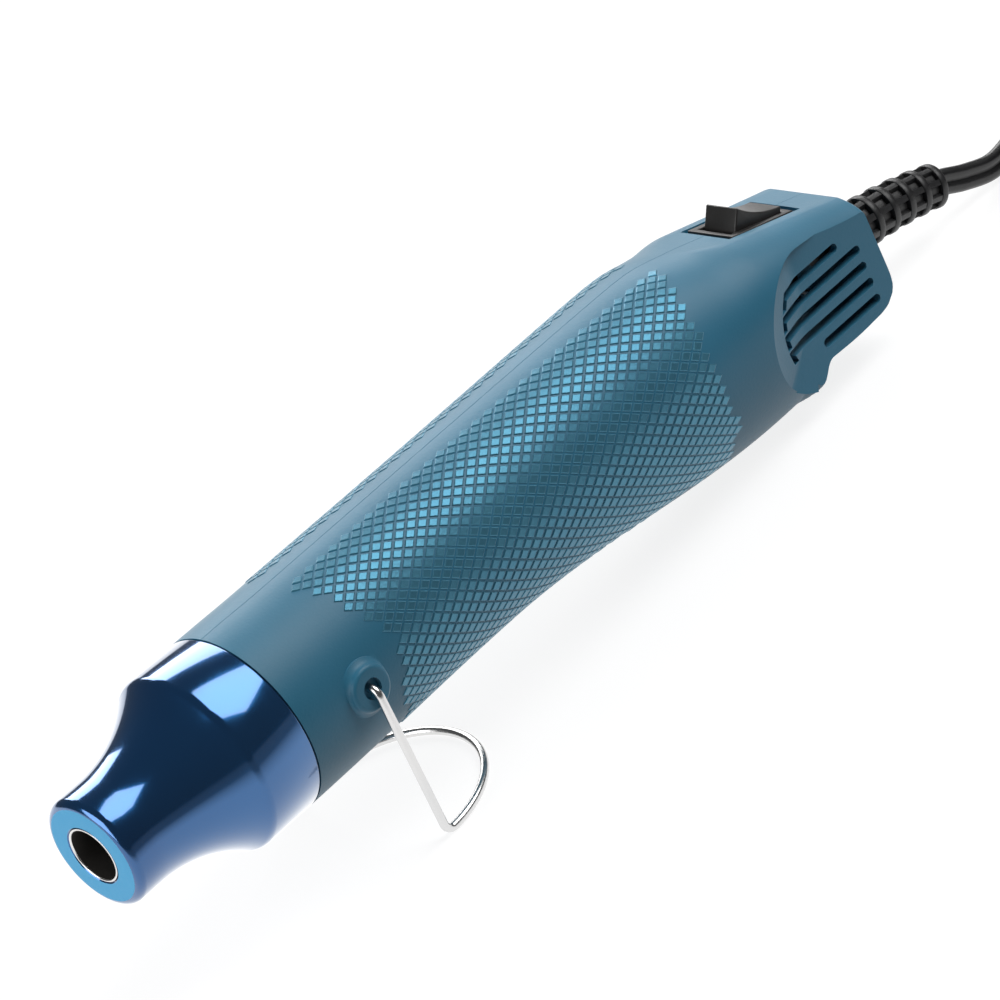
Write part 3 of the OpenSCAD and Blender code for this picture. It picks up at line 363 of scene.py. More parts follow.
def beside_coil(a, z):
    """A point of the cord along the outside of the coil."""
    f = math.radians(a)
    return COIL_X + BESIDE * math.cos(f), COIL_Y + BESIDE * math.sin(f), z


def over_coil(a, z):
    """A point of the last bend, which leads over the coil to the plug."""
    f = math.radians(a)
    return TURN_X + TURN_R * math.cos(f), COIL_Y + TURN_R * math.sin(f), z


def cord_route():
    """From the strain relief down to the floor and up to the coil."""
    ahead = Vector((math.cos(CORD_SLOPE), 0, -math.sin(CORD_SLOPE)))
    start = at(END_X, 0, END_Z) * 1000 + CORD_GAP * ahead
    bend = [(8.6, -0.4, 6.8), (16.6, -0.4, LAY_Z + 0.5), (26.1, 1.1, LAY_Z), (33.4, 4.6, LAY_Z)]
    return ([tuple(start), tuple(start + 3 * ahead)] + [(CORD_X + x, y, z) for x, y, z in bend]
            + [beside_coil(a, LAY_Z) for a in (137, 121, 105, 90)])


def spiral_r(t):
    """Radius of the winding after t turns: inward on the lower layer, outward on the upper one."""
    left = TURNS - t
    if t < RUN_IN:
        return BESIDE + (SPIRAL_START_R - BESIDE) * ease(t / RUN_IN)
    if left < RUN_OUT:
        return BESIDE + (SPIRAL_START_R - BESIDE) * ease(left / RUN_OUT)
    return SPIRAL_START_R - SPIRAL_PITCH * (min(t - RUN_IN, left - RUN_OUT, HALF_TURNS - RUN_IN))


def coil_points(n):
    """Points of the two layers of the coil, n to a turn."""
    out = []
    for i in range(1, int(TURNS * n)):
        t = i / n
        f = math.radians(90 - 360 * t)
        z = LOW_Z + (HIGH_Z - LOW_Z) * ease((t - HALF_TURNS + LAYER_CHANGE / 2) / LAYER_CHANGE)
        if t < RUN_IN:
            z = LAY_Z + (LOW_Z - LAY_Z) * ease(t / RUN_IN)
        if t > TURNS - RUN_OUT:
            z = HIGH_Z - RUN_OUT_DROP * ease((t - TURNS + RUN_OUT) / RUN_OUT)
        r = spiral_r(t)
        out.append((COIL_X + r * math.cos(f), COIL_Y + r * math.sin(f), z))
    return out


def cord_points(route_steps, coil_steps, tail_steps):
    """The cord's centre line from the strain relief to the plug."""
    tail = [beside_coil(a, z) for a, z in ((TAIL_TURN, 10), (225, 11.6), (210, 14.4), (195, 16.6))]
    tail += [over_coil(a, z) for a, z in ((180, 17.4), (155, 18.4), (130, 19.8), (108, 20.9))]
    tail += [(PLUG_AT[0] - back, PLUG_AT[1], PLUG_AT[2]) for back in (3, 0.1)]
    return (curve_through(cord_route(), route_steps) + coil_points(coil_steps)
            + curve_through(tail, tail_steps))


def twin_section():
    """The flat twin cord's outline: two round lobes with a groove between them on each face."""
    twin = CORD_T / 2
    lobe = CORD_W / 2 - twin
    section = []
    for side, start in ((1, LOBE_FROM), (-1, LOBE_FROM + 180)):
        for i in range(LOBE_POINTS):
            f = math.radians(start + LOBE_STEP * i)
            section.append((twin * math.cos(f), side * lobe + twin * math.sin(f)))
        section.append((-side * (twin - CORD_GROOVE), 0))
    return section


def make_cord():
    fine, rough = cord_points(12, 72, 8), cord_points(3, 24, 2)
    section = twin_section()
    rings = []
    for i, p in enumerate(fine):
        ahead = (Vector(fine[min(i + 1, len(fine) - 1)]) - Vector(fine[max(i - 1, 0)])).normalized()
        side = Vector((0, 0, 1)).cross(ahead).normalized()
        up = ahead.cross(side)
        rings.append([(Vector(p) + a * side + b * up) / 1000 for a, b in section])
    verts, faces = loft(rings)
    cord = new_mesh("cord", verts, faces, cord_mat, 50)
    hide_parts("cord_tube", "cord_coil", "cord_tail")
    length = sum(math.dist(a, b) for a, b in zip(rough, rough[1:])) / 1000
    return cord, [tuple(c / 1000 for c in p) for p in rough], length


def superellipse(half_w, half_h, power, count):
    out = []
    for c, s in circle(count):
        r = (abs(c / half_w) ** power + abs(s / half_h) ** power) ** (-1 / power)
        out.append((r * c, r * s))
    return out


def plug_place(x, y, z):
    return Vector((PLUG_AT[0] + x, PLUG_AT[1] + y, PLUG_AT[2] + z)) / 1000


# Each station of the plug is its place, half width, half height and squareness
PLUG_NOSE = ((0, 3.0, 3.0, 2), (0.4, 3.6, 3.6, 2), (6, 4.2, 4.2, 2), (12.8, 4.9, 4.9, 2),
             (13.6, 5.3, 5.1, 2.2), (14, 7.0, 5.2, 3), (14.8, 8.3, 5.8, 5))
PLUG_RIDGE = ((0, 8.5, 5.9, 5), (0.5, 8.0, 5.4, 5), (1.2, 8.0, 5.4, 5), (1.7, 8.5, 5.9, 5))
PLUG_BLOCK = ((25.6, 8.6, 6.0, 5), (26, 10.2, 6.8, 6), (26.8, 10.8, 7.3, 6), (28, 11, 7.5, 7),
              (36.8, 11, 7.5, 7), (37.6, 10.7, 7.2, 6), (38, 10.2, 6.6, 6))
RIDGES_X, RIDGE_STEP, RIDGES = 15.6, 2.4, 4


def make_plug():
    """A moulded plug: tapered nose, waist with finger ridges, and a square body."""
    stations = list(PLUG_NOSE)
    for i in range(RIDGES):
        x0 = RIDGES_X + RIDGE_STEP * i
        stations += [(x0 + x, w, h, power) for x, w, h, power in PLUG_RIDGE]
    stations += PLUG_BLOCK
    rings = [[plug_place(x, a, b) for a, b in superellipse(w, h, power, 64)] for x, w, h, power in stations]
    verts, faces = loft(rings)
    plug = new_mesh("plug_moulding", verts, faces, rubber_mat, 50, merge_at=1e-7)
    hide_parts("plug_body")
    return plug


TIE_IN_R, TIE_OUT_R, TIE_LOW, TIE_HIGH, TIE_TURN = 26.0, 41.0, 0.5, 14.1, math.radians(-60)
TIE_SECTION = ((-2.5, -0.15), (-2.3, -0.38), (2.3, -0.38), (2.5, -0.15),
               (2.5, 0.15), (2.3, 0.38), (-2.3, 0.38), (-2.5, 0.15))


def make_tie():
    """A soft band round the coil, with rounded corners."""
    mid_r, mid_z = (TIE_IN_R + TIE_OUT_R) / 2, (TIE_LOW + TIE_HIGH) / 2
    half_w, half_h = (TIE_OUT_R - TIE_IN_R) / 2, (TIE_HIGH - TIE_LOW) / 2
    turn_c, turn_s = math.cos(TIE_TURN), math.sin(TIE_TURN)
    rings = []
    for c, s in circle(48):
        r = (abs(c / half_w) ** 7 + abs(s / half_h) ** 7) ** (-1 / 7)
        ring = []
        for w, t in TIE_SECTION:
            q = mid_r + (r + t) * c
            ring.append(Vector((COIL_X + q * turn_c - w * turn_s, COIL_Y + q * turn_s + w * turn_c,
                                mid_z + (r + t) * s)) / 1000)
        rings.append(ring)
    verts, faces = loft(rings + rings[:1], cap=False)
    tie = new_mesh("tie_band", verts, faces, rubber_mat, 40, merge_at=1e-6)
    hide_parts("cord_tie")
    return tie


cord, cord_path, cord_length = make_cord()
plug = make_plug()
tie = make_tie()


# Skin of the housing: as in the CAD source, with a longer blend in front of the switch platform
PAD_FADE_X, PAD_FADE_END = PAD_X - 9, PAD_X + 1.2
CREST_FADE, CREST_SOFT, CREST_LIFT = 20, 1.5, 0.05


def soft_min(a, b, k):
    return (a + b - math.sqrt((a - b) ** 2 + k * k)) / 2


def pad_height(x):
    """Height of the sloped platform of the switch."""
    return PAD_Z - (x - PAD_X) * math.tan(PAD_TILT)


def to_waist(x, waist):
    """A measure that goes from the front's radius to that of the waist."""
    return FRONT_R + (waist - FRONT_R) * ease((x - NOZZLE_LEN) / (WAIST_X - NOZZLE_LEN))


def to_belly(x, waist, belly):
    return waist + (belly - waist) * ease((x - WAIST_X) / (BELLY_X - WAIST_X))


def half_width(x):
    if x < WAIST_X:
        return to_waist(x, WAIST_HALF_W)
    return to_belly(x, WAIST_HALF_W, BELLY_HALF_W) - TAIL_TAPER * ease((x - BELLY_X) / (BODY_LEN - BELLY_X))


def grip_depth(x):
    if x < WAIST_X:
        return to_waist(x, WAIST_DEPTH)
    return to_belly(x, WAIST_DEPTH, BELLY_DEPTH)


def tail_bottom(x):
    inside = max(0, x - (BODY_LEN - CORNER_R))
    rounding = CORNER_R - math.sqrt(max(0, CORNER_R ** 2 - inside ** 2))
    return TAIL_DEPTH + TAIL_HOOK * ease((x - STEP_X) / (BODY_LEN - 8 - STEP_X)) - rounding


def tail_share(x):
    return ease((x - STEP_X) / STEP_LEN)


def depth(x):
    return grip_depth(x) * (1 - tail_share(x)) + tail_bottom(x) * tail_share(x)


def crest(x):
    """Height of the top line in front of the platform."""
    top = FRONT_R + (TOP_R - FRONT_R) * ease((x - NOZZLE_LEN) / CREST_FADE)
    return soft_min(top, pad_height(x) + CREST_LIFT, CREST_SOFT)


def pad_width(x):
    return PAD_HALF_W + PAD_SPREAD * ease((x - PAD_X) / (BODY_LEN - PAD_X))


def upper_pow(x):
    """Squareness of the section above the side line, from round in front to fuller at the tail."""
    return 2 + 0.4 * ease((x - BELLY_X + 14) / 30)


def lower_pow(x):
    """Squareness of the section below the side line."""
    return 2 + 5 * tail_share(x)


def shoulder(x):
    """Height at which the section's oval would close, so that it meets the platform's edge."""
    n = upper_pow(x)
    return pad_height(x) / (1 - (pad_width(x) / half_width(x)) ** n) ** (1 / n)


def crown(x):
    share = ease((x - PAD_FADE_X) / (PAD_FADE_END - PAD_FADE_X))
    return crest(x) * (1 - share) + shoulder(x) * share if share > 0 else crest(x)


def oval_r(a, b, n, f):
    return ((abs(math.cos(f)) / a) ** n + (abs(math.sin(f)) / b) ** n) ** (-1 / n)


def edge_angle(x):
    """Angle of the platform's edge, seen from the tool's axis."""
    return math.atan2(max(pad_height(x), 5), pad_width(x))


def skin_r(x, f, d=0.0):
    """Radius of the skin at a place and angle, drawn in by the distance d."""
    if f < 0:
        return oval_r(half_width(x) - d, depth(x) - d, lower_pow(x), f)
    r = oval_r(half_width(x) - d, crown(x) - d, upper_pow(x), f)
    if x < PAD_FADE_X:
        return r
    return min(r, (pad_height(x) - d) / math.sin(max(f, math.radians(1))))


def skin_half(x, z):
    """Half width of the skin at a place and height."""
    top, power = (crown(x), upper_pow(x)) if z > 0 else (depth(x), lower_pow(x))
    share = min(abs(z) / top, 1)
    return half_width(x) * (1 - share ** power) ** (1 / power)


def span(a, b, n):
    return [a + (b - a) * i / n for i in range(n)]


SHELL_X = NOZZLE_LEN + SEAM
LOW_STEPS, SIDE_STEPS, TOP_STEPS = 26, 20, 9
SEAM_GROOVE = 0.12
GROOVE_ANGLE = SEAM_GROOVE / 22
END_ROUND = 0.8
FLAT_WALL_X = 195


def section_angles(x):
    edge = edge_angle(x)
    low = [-math.pi / 2] + span(-math.pi / 2 + GROOVE_ANGLE, 0, LOW_STEPS)
    top = [edge + (math.pi / 2 - GROOVE_ANGLE - edge) * i / TOP_STEPS for i in range(TOP_STEPS + 1)]
    return low + span(0, edge, SIDE_STEPS) + top + [math.pi / 2]


def half_section(x, d, side, limit=math.inf, groove=0.0):
    """Points of one half's section from keel to crest, with a groove along the seam."""
    out = []
    angles = section_angles(x)
    for i, f in enumerate(angles):
        r = skin_r(x, f, d) - (groove if i in (0, len(angles) - 1) else 0)
        out.append(at(x, side * min(r * math.cos(f), limit), r * math.sin(f)))
    return out


def make_shell(side):
    """One housing half as a closed shell with its inner skin."""
    inside = (span(SHELL_X, SHELL_X + 1.2, 3) + span(SHELL_X + 1.2, PAD_X - 6, 92) + span(PAD_X - 6, PAD_X, 8)
              + span(PAD_X, PAD_FADE_END, 4) + span(PAD_FADE_END, STEP_X + STEP_LEN + 1, 16)
              + span(STEP_X + STEP_LEN + 1, BODY_LEN - CORNER_R, 10)
              + span(BODY_LEN - CORNER_R, BODY_LEN - WALL, 6) + [BODY_LEN - WALL])
    stations = inside + [BODY_LEN - back for back in (1.4, 0.8, 0.45, 0.2, 0.05, 0)]
    outer = []
    for x in stations:
        past = max(0, x - (BODY_LEN - END_ROUND))
        pull = END_ROUND - math.sqrt(max(0, END_ROUND ** 2 - past ** 2))
        outer += half_section(x, pull, side, groove=SEAM_GROOVE)
    inner = []
    for x in inside:
        inner += half_section(x, WALL, side, limit=math.inf if x < FLAT_WALL_X else TAIL_HALF_W - WALL)
    k = LOW_STEPS + SIDE_STEPS + TOP_STEPS + 3
    j, m, base = len(stations), len(inside), len(outer)
    faces = []
    for i in range(j - 1):
        for n in range(k - 1):
            faces.append((i * k + n, (i + 1) * k + n, (i + 1) * k + n + 1, i * k + n + 1))
    for i in range(m - 1):
        for n in range(k - 1):
            a = base + i * k + n
            faces.append((a, a + 1, a + k + 1, a + k))
        faces.append((i * k, base + i * k, base + (i + 1) * k, (i + 1) * k))
        faces.append((i * k + k - 1, (i + 1) * k + k - 1, base + (i + 1) * k + k - 1, base + i * k + k - 1))
    for n in range(k - 1):
        faces.append((n, n + 1, base + n + 1, base + n))
    faces.append(tuple((j - 1) * k + n for n in range(k - 1, -1, -1)))
    faces.append(tuple(base + (m - 1) * k + n for n in range(k)))
    faces.append(tuple([i * k for i in range(j - 1, m - 2, -1)]
                       + [base + (m - 1) * k, base + (m - 1) * k + k - 1]
                       + [i * k + k - 1 for i in range(m - 1, j)]))
    if side < 0:
        faces = [tuple(reversed(f)) for f in faces]
    name = "housing_skin_left" if side < 0 else "housing_skin_right"
    return new_mesh(name, outer + inner, faces, housing_mat)


# Forms that are cut from the housing or joined to it
SLOT_R, SLOT_X, SLOT_Z, SLOT_BAND, SLOT_FOOT = 15.4, BODY_LEN - 19.6, -8.3, 1.7, 2.8
SLOT_HALF_H, SLOT_TOP_Z, SLOT_STEP, SLOTS = 1.1, 1.8, 4.3, 5
TOP_SLOT_END, SLOT_END, LOW_SLOT_START = 225.5, 231.0, 213.0
VENT_R, VENT_X, VENT_Z = 16.7, BODY_LEN - 24.2, -7.6
VENT_STEP, VENT_RUN, VENT_CURVE = 0.7, 14.0, 1.3
VENT_FROM, VENT_TO, VENT_TOP_FADE, VENT_LOW_FADE = 84, 248, 25, 40
VENT_REACH, VENT_LOW_Z, VENT_TOP_SLOPE = 40, -58, math.radians(10)


def prism(outline, y0, y1):
    """A closed prism across the tool from an outline of (x, z) points."""
    return loft([[at(x, y, z) for x, z in outline] for y in (y0, y1)])


def arc(cx, cz, r, a0, a1, n):
    angles = [math.radians(a0 + (a1 - a0) * i / n) for i in range(n + 1)]
    return [(cx + r * math.cos(f), cz + r * math.sin(f)) for f in angles]


def cross_tube(x, z, r, y0, y1):
    """A round bar across the tool."""
    n = 48
    return prism(arc(x, z, r, 0, 360 - 360 / n, n - 1), y0, y1)


def vent_outline():
    """The flat vent face: an arc in front, and open past the tail."""
    edge = arc(VENT_X, VENT_Z, VENT_R, 80, 270, 72)
    rise = VENT_REACH * math.tan(VENT_TOP_SLOPE)
    return edge + [(VENT_X, VENT_LOW_Z), (VENT_X + VENT_REACH, VENT_LOW_Z),
                   (edge[0][0] + VENT_REACH, edge[0][1] - rise)]


def vent_ramp(side):
    """The vent face's slow slope, from a small step at its arc down to the flat."""
    foot, low, outside, steps = TAIL_HALF_W - 1.4, TAIL_HALF_W - 0.02, VENT_R + 0.4, 10
    rings = []
    for i in range(61):
        a = VENT_FROM + (VENT_TO - VENT_FROM) * i / 60
        c, q = math.cos(math.radians(a)), math.sin(math.radians(a))
        rise = skin_half(VENT_X + VENT_R * c, VENT_Z + VENT_R * q) - VENT_STEP - TAIL_HALF_W
        fade = rise * ease((a - VENT_FROM) / VENT_TOP_FADE) * ease((VENT_TO - a) / VENT_LOW_FADE)
        top = TAIL_HALF_W + max(0.02, fade)
        section = [(outside, foot), (outside, top)]
        section += [(VENT_R - VENT_RUN * k / steps, low + (top - low) * (1 - k / steps) ** VENT_CURVE)
                    for k in range(steps + 1)]
        section.append((VENT_R - VENT_RUN, foot))
        rings.append([at(VENT_X + r * c, side * y, VENT_Z + r * q) for r, y in section])
    return loft(rings)


def slot_outline(i):
    """A vent slot with a round rear end; all but the lowest turn down along the arc in front."""
    w, z = SLOT_HALF_H, SLOT_TOP_Z - SLOT_STEP * i
    rear = (TOP_SLOT_END if i == 0 else SLOT_END) - w
    end = arc(rear, z, w, -90, 90, 12)
    if i == SLOTS - 1:
        return end + arc(LOW_SLOT_START, z, w, 90, 270, 12)
    top, low, foot = z + w - SLOT_Z, z - w - SLOT_Z, z - SLOT_FOOT - SLOT_Z

    def circle_points(r, h0, h1):
        a0, a1 = (math.degrees(math.pi - math.asin(h / r)) for h in (h0, h1))
        return arc(SLOT_X, SLOT_Z, r, a0, a1, 8)

    return end + circle_points(SLOT_R, top, foot) + circle_points(SLOT_R - SLOT_BAND, foot, low)


def pad_point(u, v, w):
    """A point in the platform's frame: u along it, v across it and w out of it."""
    c, s = math.cos(PAD_TILT), math.sin(PAD_TILT)
    return at(RECESS_X + u * c + w * s, v, pad_height(RECESS_X) - u * s + w * c)


def pad_box(u0, u1, half_v, w0, w1):
    """A box in the platform's frame, centred across it."""
    corners = ((u0, -half_v), (u1, -half_v), (u1, half_v), (u0, half_v))
    return loft([[pad_point(u, v, w) for u, v in corners] for w in (w0, w1)])


BOSS_INSIDE, BOSS_R, BOSS_ROUND, BOSS_UNDER_WIRE = 17.5, 5.3, 1.0, 1.2
BOSS_FOOT = ((BOSS_INSIDE, 6.6), (21.6, 6.6), (22.0, 6.0), (22.5, 5.5), (23.0, BOSS_R))


def boss(side):
    """The stand's boss: a ring with a wide foot and a rounded rim."""
    top = STAND_HALF_W - BOSS_UNDER_WIRE
    turns = [math.radians(a) for a in range(20, 91, 10)]
    rings = list(BOSS_FOOT)
    rings += [(top - BOSS_ROUND + BOSS_ROUND * math.sin(f), BOSS_R - BOSS_ROUND + BOSS_ROUND * math.cos(f))
              for f in turns]
    return loft([[at(STAND_X + r * c, side * y, r * s) for c, s in circle(64)] for y, r in rings])


WIRE_HOLE_R, SCREW_WELL_R = 2.4, 3.0
SWITCH_HOLE_MARGIN, SWITCH_SIDE_GAP = 0.9, 0.1


def make_housing(side):
    shell = make_shell(side)
    cut(shell, [prism(vent_outline(), side * TAIL_HALF_W, side * (TAIL_HALF_W + 20))], "DIFFERENCE")
    cut(shell, [vent_ramp(side)], "UNION")
    cut(shell, [boss(side)], "UNION")
    y0, y1 = side * (TAIL_HALF_W - WALL - 2), side * (TAIL_HALF_W + 6)
    cutters = [prism(slot_outline(i), y0, y1) for i in range(SLOTS)]
    cutters.append(cross_tube(STAND_X, 0, WIRE_HOLE_R, side * (STAND_HALF_W - 2.8), side * 26))
    cutters.append(pad_box(0, RECESS_LEN, RECESS_W / 2, -RECESS_DEPTH, 3))
    if side > 0:
        cutters += [cross_tube(x, z, SCREW_WELL_R, 8, 30) for x, z in SCREW_POSTS]
    cut(shell, cutters, "DIFFERENCE")
    half = SWITCH_LEN / 2 - SWITCH_HOLE_MARGIN
    hole = pad_box(SWITCH_MID - half, SWITCH_MID + half, SWITCH_W / 2 + SWITCH_SIDE_GAP, -6, 2)
    cut(shell, [hole], "DIFFERENCE")
    smooth_edges(shell, 32)
    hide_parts("housing_left" if side < 0 else "housing_right")


make_housing(-1)
make_housing(1)


# Raised grip tiles, between two edges given as (angle of the section, place) points
FRONT_EDGE = ((-60, 74.5), (-43, 73.9), (-20, 72.3), (-5, 74.0), (9.7, 75.5),
              (18.7, 75.1), (30.5, 73.0), (52, 69.6), (66, 67.5), (80, 66.0))
REAR_EDGE = ((-60, 180.6), (-52, 180.6), (-40, 181.0), (-28, 180.9), (-2.5, 180.0),
             (18, 180.4), (43, 183.3), (57, 185.5), (75, 188.8), (80, 189.5))
TABLE_X, TABLE_STEP, TABLES, TABLE_DEG = 60, 2.0, 68, 88
TILE, TILE_GROOVE, TILE_H, TILE_SINK, TILE_SLOPE = 2.4, 0.42, 0.2, 0.15, 0.2
TILE_RUN, TILE_RISE = 0.8 * TILE, 0.6 * TILE
TILE_MID_X, TILE_FROM_X, TILE_TO_X, TILE_MAX_ARC = 128, 64, 192, 36
TILE_MIN_ANGLE, TILE_MIN_Y, TILE_EDGE = -62, 5.0, 1.0
WELL_CLEAR = 5.2


def between(table, a):
    for (a0, x0), (a1, x1) in zip(table, table[1:]):
        if a <= a1:
            return x0 + (x1 - x0) * max(0, (a - a0)) / (a1 - a0)
    return table[-1][1]


def skin_point(x, deg):
    """Half width and height of the skin at an angle of its section."""
    f = math.radians(deg)
    r = skin_r(x, f)
    return r * math.cos(f), r * math.sin(f)


def arc_table(x):
    """Arc length from the side line for each degree of the section."""
    table = {0: 0.0}
    for sign in (1, -1):
        total = 0.0
        for i in range(1, TABLE_DEG + 1):
            total += math.dist(skin_point(x, sign * (i - 1)), skin_point(x, sign * i))
            table[sign * i] = sign * total
    return table


ARC_TABLES = [arc_table(TABLE_X + TABLE_STEP * i) for i in range(TABLES)]


def angle_at(x, s):
    """Angle of the section in degrees at the arc length s from the side line."""
    table = ARC_TABLES[round((x - TABLE_X) / TABLE_STEP)]
    sign = 1 if s >= 0 else -1
    for i in range(1, TABLE_DEG + 1):
        if abs(table[sign * i]) >= abs(s):
            low = abs(table[sign * (i - 1)])
            return sign * (i - 1 + (abs(s) - low) / (abs(table[sign * i]) - low))
    return sign * float(TABLE_DEG)


def has_tile(x, s, side):
    """Whether a tile lies on the grip, clear of the crest, the edges and the screw wells."""
    if not TILE_FROM_X < x < TILE_TO_X or abs(s) > TILE_MAX_ARC:
        return False
    a = angle_at(x, s)
    y, z = skin_point(x, a)
    if a < TILE_MIN_ANGLE or y < TILE_MIN_Y:
        return False
    if x < between(FRONT_EDGE, a) + TILE_EDGE or x > between(REAR_EDGE, a) - TILE_EDGE:
        return False
    return side < 0 or all(math.hypot(x - px, z - pz) >= WELL_CLEAR for px, pz in SCREW_POSTS)


def make_tiles(side):
    foot = (TILE - TILE_GROOVE) / TILE / 2
    top = (TILE - TILE_GROOVE - 2 * TILE_SLOPE) / TILE / 2
    levels = ((foot, -TILE_SINK), (foot, TILE_H - TILE_SLOPE * 0.6), (top, TILE_H))
    verts, faces = [], []
    for u in range(-60, 90):
        for v in range(-90, 60):
            x, s = TILE_MID_X + TILE_RUN * (u - v), -TILE_RISE * (u + v)
            if not has_tile(x, s, side):
                continue
            base = len(verts)
            for share, lift in levels:
                for p, q in ((-1, -1), (1, -1), (1, 1), (-1, 1)):
                    tx = x + TILE_RUN * share * (p - q)
                    f = math.radians(angle_at(tx, s - TILE_RISE * share * (p + q)))
                    r = skin_r(tx, f) + lift
                    verts.append(at(tx, side * r * math.cos(f), r * math.sin(f)))
            for ring in (0, 4):
                for i in range(4):
                    a0, a1 = base + ring + i, base + ring + (i + 1) % 4
                    faces.append((a0, a1, a1 + 4, a0 + 4))
            faces.append((base + 8, base + 9, base + 10, base + 11))
            faces.append((base + 3, base + 2, base + 1, base))
    name = "grip_tiles_left" if side < 0 else "grip_tiles_right"
    tiles = new_mesh(name, verts, faces, grip_mat, 25, merge_at=1e-8)


make_tiles(-1)
make_tiles(1)


# Nozzle and outlet pipe
SKIRT_R, NOZZLE_WALL, OPENING_R = 20.0, 1.0, 7.0
FACE_DEPTH, FACE_R = 0.06, TIP_R - RIM_R + 0.6
BEAD = ((54, SKIRT_R), (54, 20.9), (55.5, 20.9), (55.5, SKIRT_R), (58, SKIRT_R))
PIPE_PROFILE = ((0.35, 6.3), (0.05, 6.45), (0.0, 6.65), (0.1, 6.85), (0.4, 6.9),
                (10, 6.9), (10, 12.4), (11, 12.4), (11, 6.3))
# Place and radius past which the pipe's bore gets the painted shade.
BORE_SHADE_X, BORE_SHADE_R = 0.25, 6.4


def tool_axes(p):
    """Place along the tool's axis and distance from it, of a point in millimetres in the scene."""
    x, z = p.x + SHIFT, p.z - LIFT
    return x * math.cos(LEAN) - z * math.sin(LEAN), math.hypot(p.y, x * math.sin(LEAN) + z * math.cos(LEAN))


def finish_faces(obj, finish, chosen):
    """Gives a second finish to the faces whose places and radii the test chooses."""
    obj.data.materials.append(finish)
    for face in obj.data.polygons:
        points = [tool_axes(obj.data.vertices[i].co * 1000) for i in face.vertices]
        if chosen([x for x, r in points], [r for x, r in points]):
            face.material_index = 1


def nozzle_profile():
    """Outline of the spun nozzle: rim, neck, flare, collar and the skirt inside the housing."""
    centre_r, collar_r = TIP_R + FLARE_R, FRONT_R - COLLAR_EDGE_R
    reach = math.sqrt((FLARE_R + COLLAR_EDGE_R) ** 2 - (centre_r - collar_r) ** 2)
    turn = math.asin(reach / (FLARE_R + COLLAR_EDGE_R))
    collar_x = NECK_LEN + reach

    def flare(d, n):
        r = FLARE_R + d
        return [(NECK_LEN + r * math.sin(turn * i / n), centre_r - r * math.cos(turn * i / n))
                for i in range(n + 1)]

    def edge(d, n):
        r = COLLAR_EDGE_R - d
        return [(collar_x - r * math.sin(turn * (1 - i / n)), collar_r + r * math.cos(turn * (1 - i / n)))
                for i in range(1, n + 1)]

    inner_r = SKIRT_R - NOZZLE_WALL
    rim = [(RIM_R - RIM_R * math.cos(math.radians(a)), TIP_R - RIM_R + RIM_R * math.sin(math.radians(a)))
           for a in range(0, 91, 9)]
    profile = [(0.25, OPENING_R), (0.0, OPENING_R + 0.25), (0.0, 9.0)] + rim + [(5, TIP_R)]
    profile += flare(0, 48) + edge(0, 14)
    profile += [(NOZZLE_LEN - 0.35, FRONT_R), (NOZZLE_LEN - 0.1, FRONT_R - 0.1), (NOZZLE_LEN, FRONT_R - 0.35)]
    profile += [(NOZZLE_LEN, SKIRT_R), *BEAD, (58, inner_r)]
    profile += [(NOZZLE_LEN - NOZZLE_WALL, inner_r), (NOZZLE_LEN - NOZZLE_WALL, FRONT_R - NOZZLE_WALL)]
    profile += list(reversed(edge(NOZZLE_WALL, 14))) + list(reversed(flare(NOZZLE_WALL, 48)))
    return profile + [(NOZZLE_WALL, TIP_R - NOZZLE_WALL), (NOZZLE_WALL, OPENING_R)]


def make_nozzle():
    """The nozzle with its pale outlet face, and the steel pipe whose bore is painted near-black as shade."""
    verts, faces = revolve(nozzle_profile(), 192)
    nozzle = new_mesh("nozzle_shell", verts, faces, nozzle_mat, 40, merge_at=1e-7)
    finish_faces(nozzle, face_mat, lambda xs, rs: max(xs) < FACE_DEPTH and max(rs) < FACE_R)
    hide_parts("nozzle")
    verts, faces = revolve(PIPE_PROFILE, 128)
    pipe = new_mesh("outlet_pipe", verts, faces, steel_mat, 50, merge_at=1e-7)
    # The bore's inner wall takes the near-black finish as painted shade.
    finish_faces(pipe, bore_shade_mat, lambda xs, rs: min(xs) > BORE_SHADE_X and max(rs) < BORE_SHADE_R)
    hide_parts("outlet_tube")


make_nozzle()


# Stand
LEG_LEAN_DEG, WIRE_END_Y, WIRE_STRAIGHT_Y, WIRE_END_SHARE = 3, 18.3, 20.5, 0.7


def stand_path():
    """Half of the wire's centre line from its pivot: bend, leg, bend and half of the foot's arc."""
    lean = math.radians(LEG_LEAN_DEG)
    leg = (STAND_H - WIRE_BEND * (1 + math.sin(lean))) / math.cos(lean)
    base_x, base_z = -leg * math.sin(lean) + WIRE_BEND * math.cos(lean), -STAND_H + WIRE_BEND
    half = [(0.0, WIRE_END_Y, 0.0), (0.0, WIRE_STRAIGHT_Y, 0.0)]
    for i in range(13):
        f = math.radians(7.5 * i)
        drop = WIRE_BEND * (1 - math.cos(f))
        half.append((-drop * math.sin(lean), STAND_HALF_W - WIRE_BEND + WIRE_BEND * math.sin(f),
                     -drop * math.cos(lean)))
    top = half[-1]
    low_x = base_x + WIRE_BEND * math.cos(math.pi + lean)
    low_z = base_z + WIRE_BEND * math.sin(math.pi + lean)
    for i in range(1, 8):
        t = i / 8
        half.append((top[0] + (low_x - top[0]) * t, STAND_HALF_W, top[2] + (low_z - top[2]) * t))
    for i in range(13):
        f = math.radians(-180 - LEG_LEAN_DEG + (90 + LEG_LEAN_DEG) * i / 12)
        half.append((base_x + WIRE_BEND * math.cos(f), STAND_HALF_W, base_z + WIRE_BEND * math.sin(f)))
    for i in range(1, 37):
        f = math.radians(90 - 2.5 * i)
        half.append((base_x + STAND_HALF_W * math.cos(f), STAND_HALF_W * math.sin(f), -STAND_H))
    return half


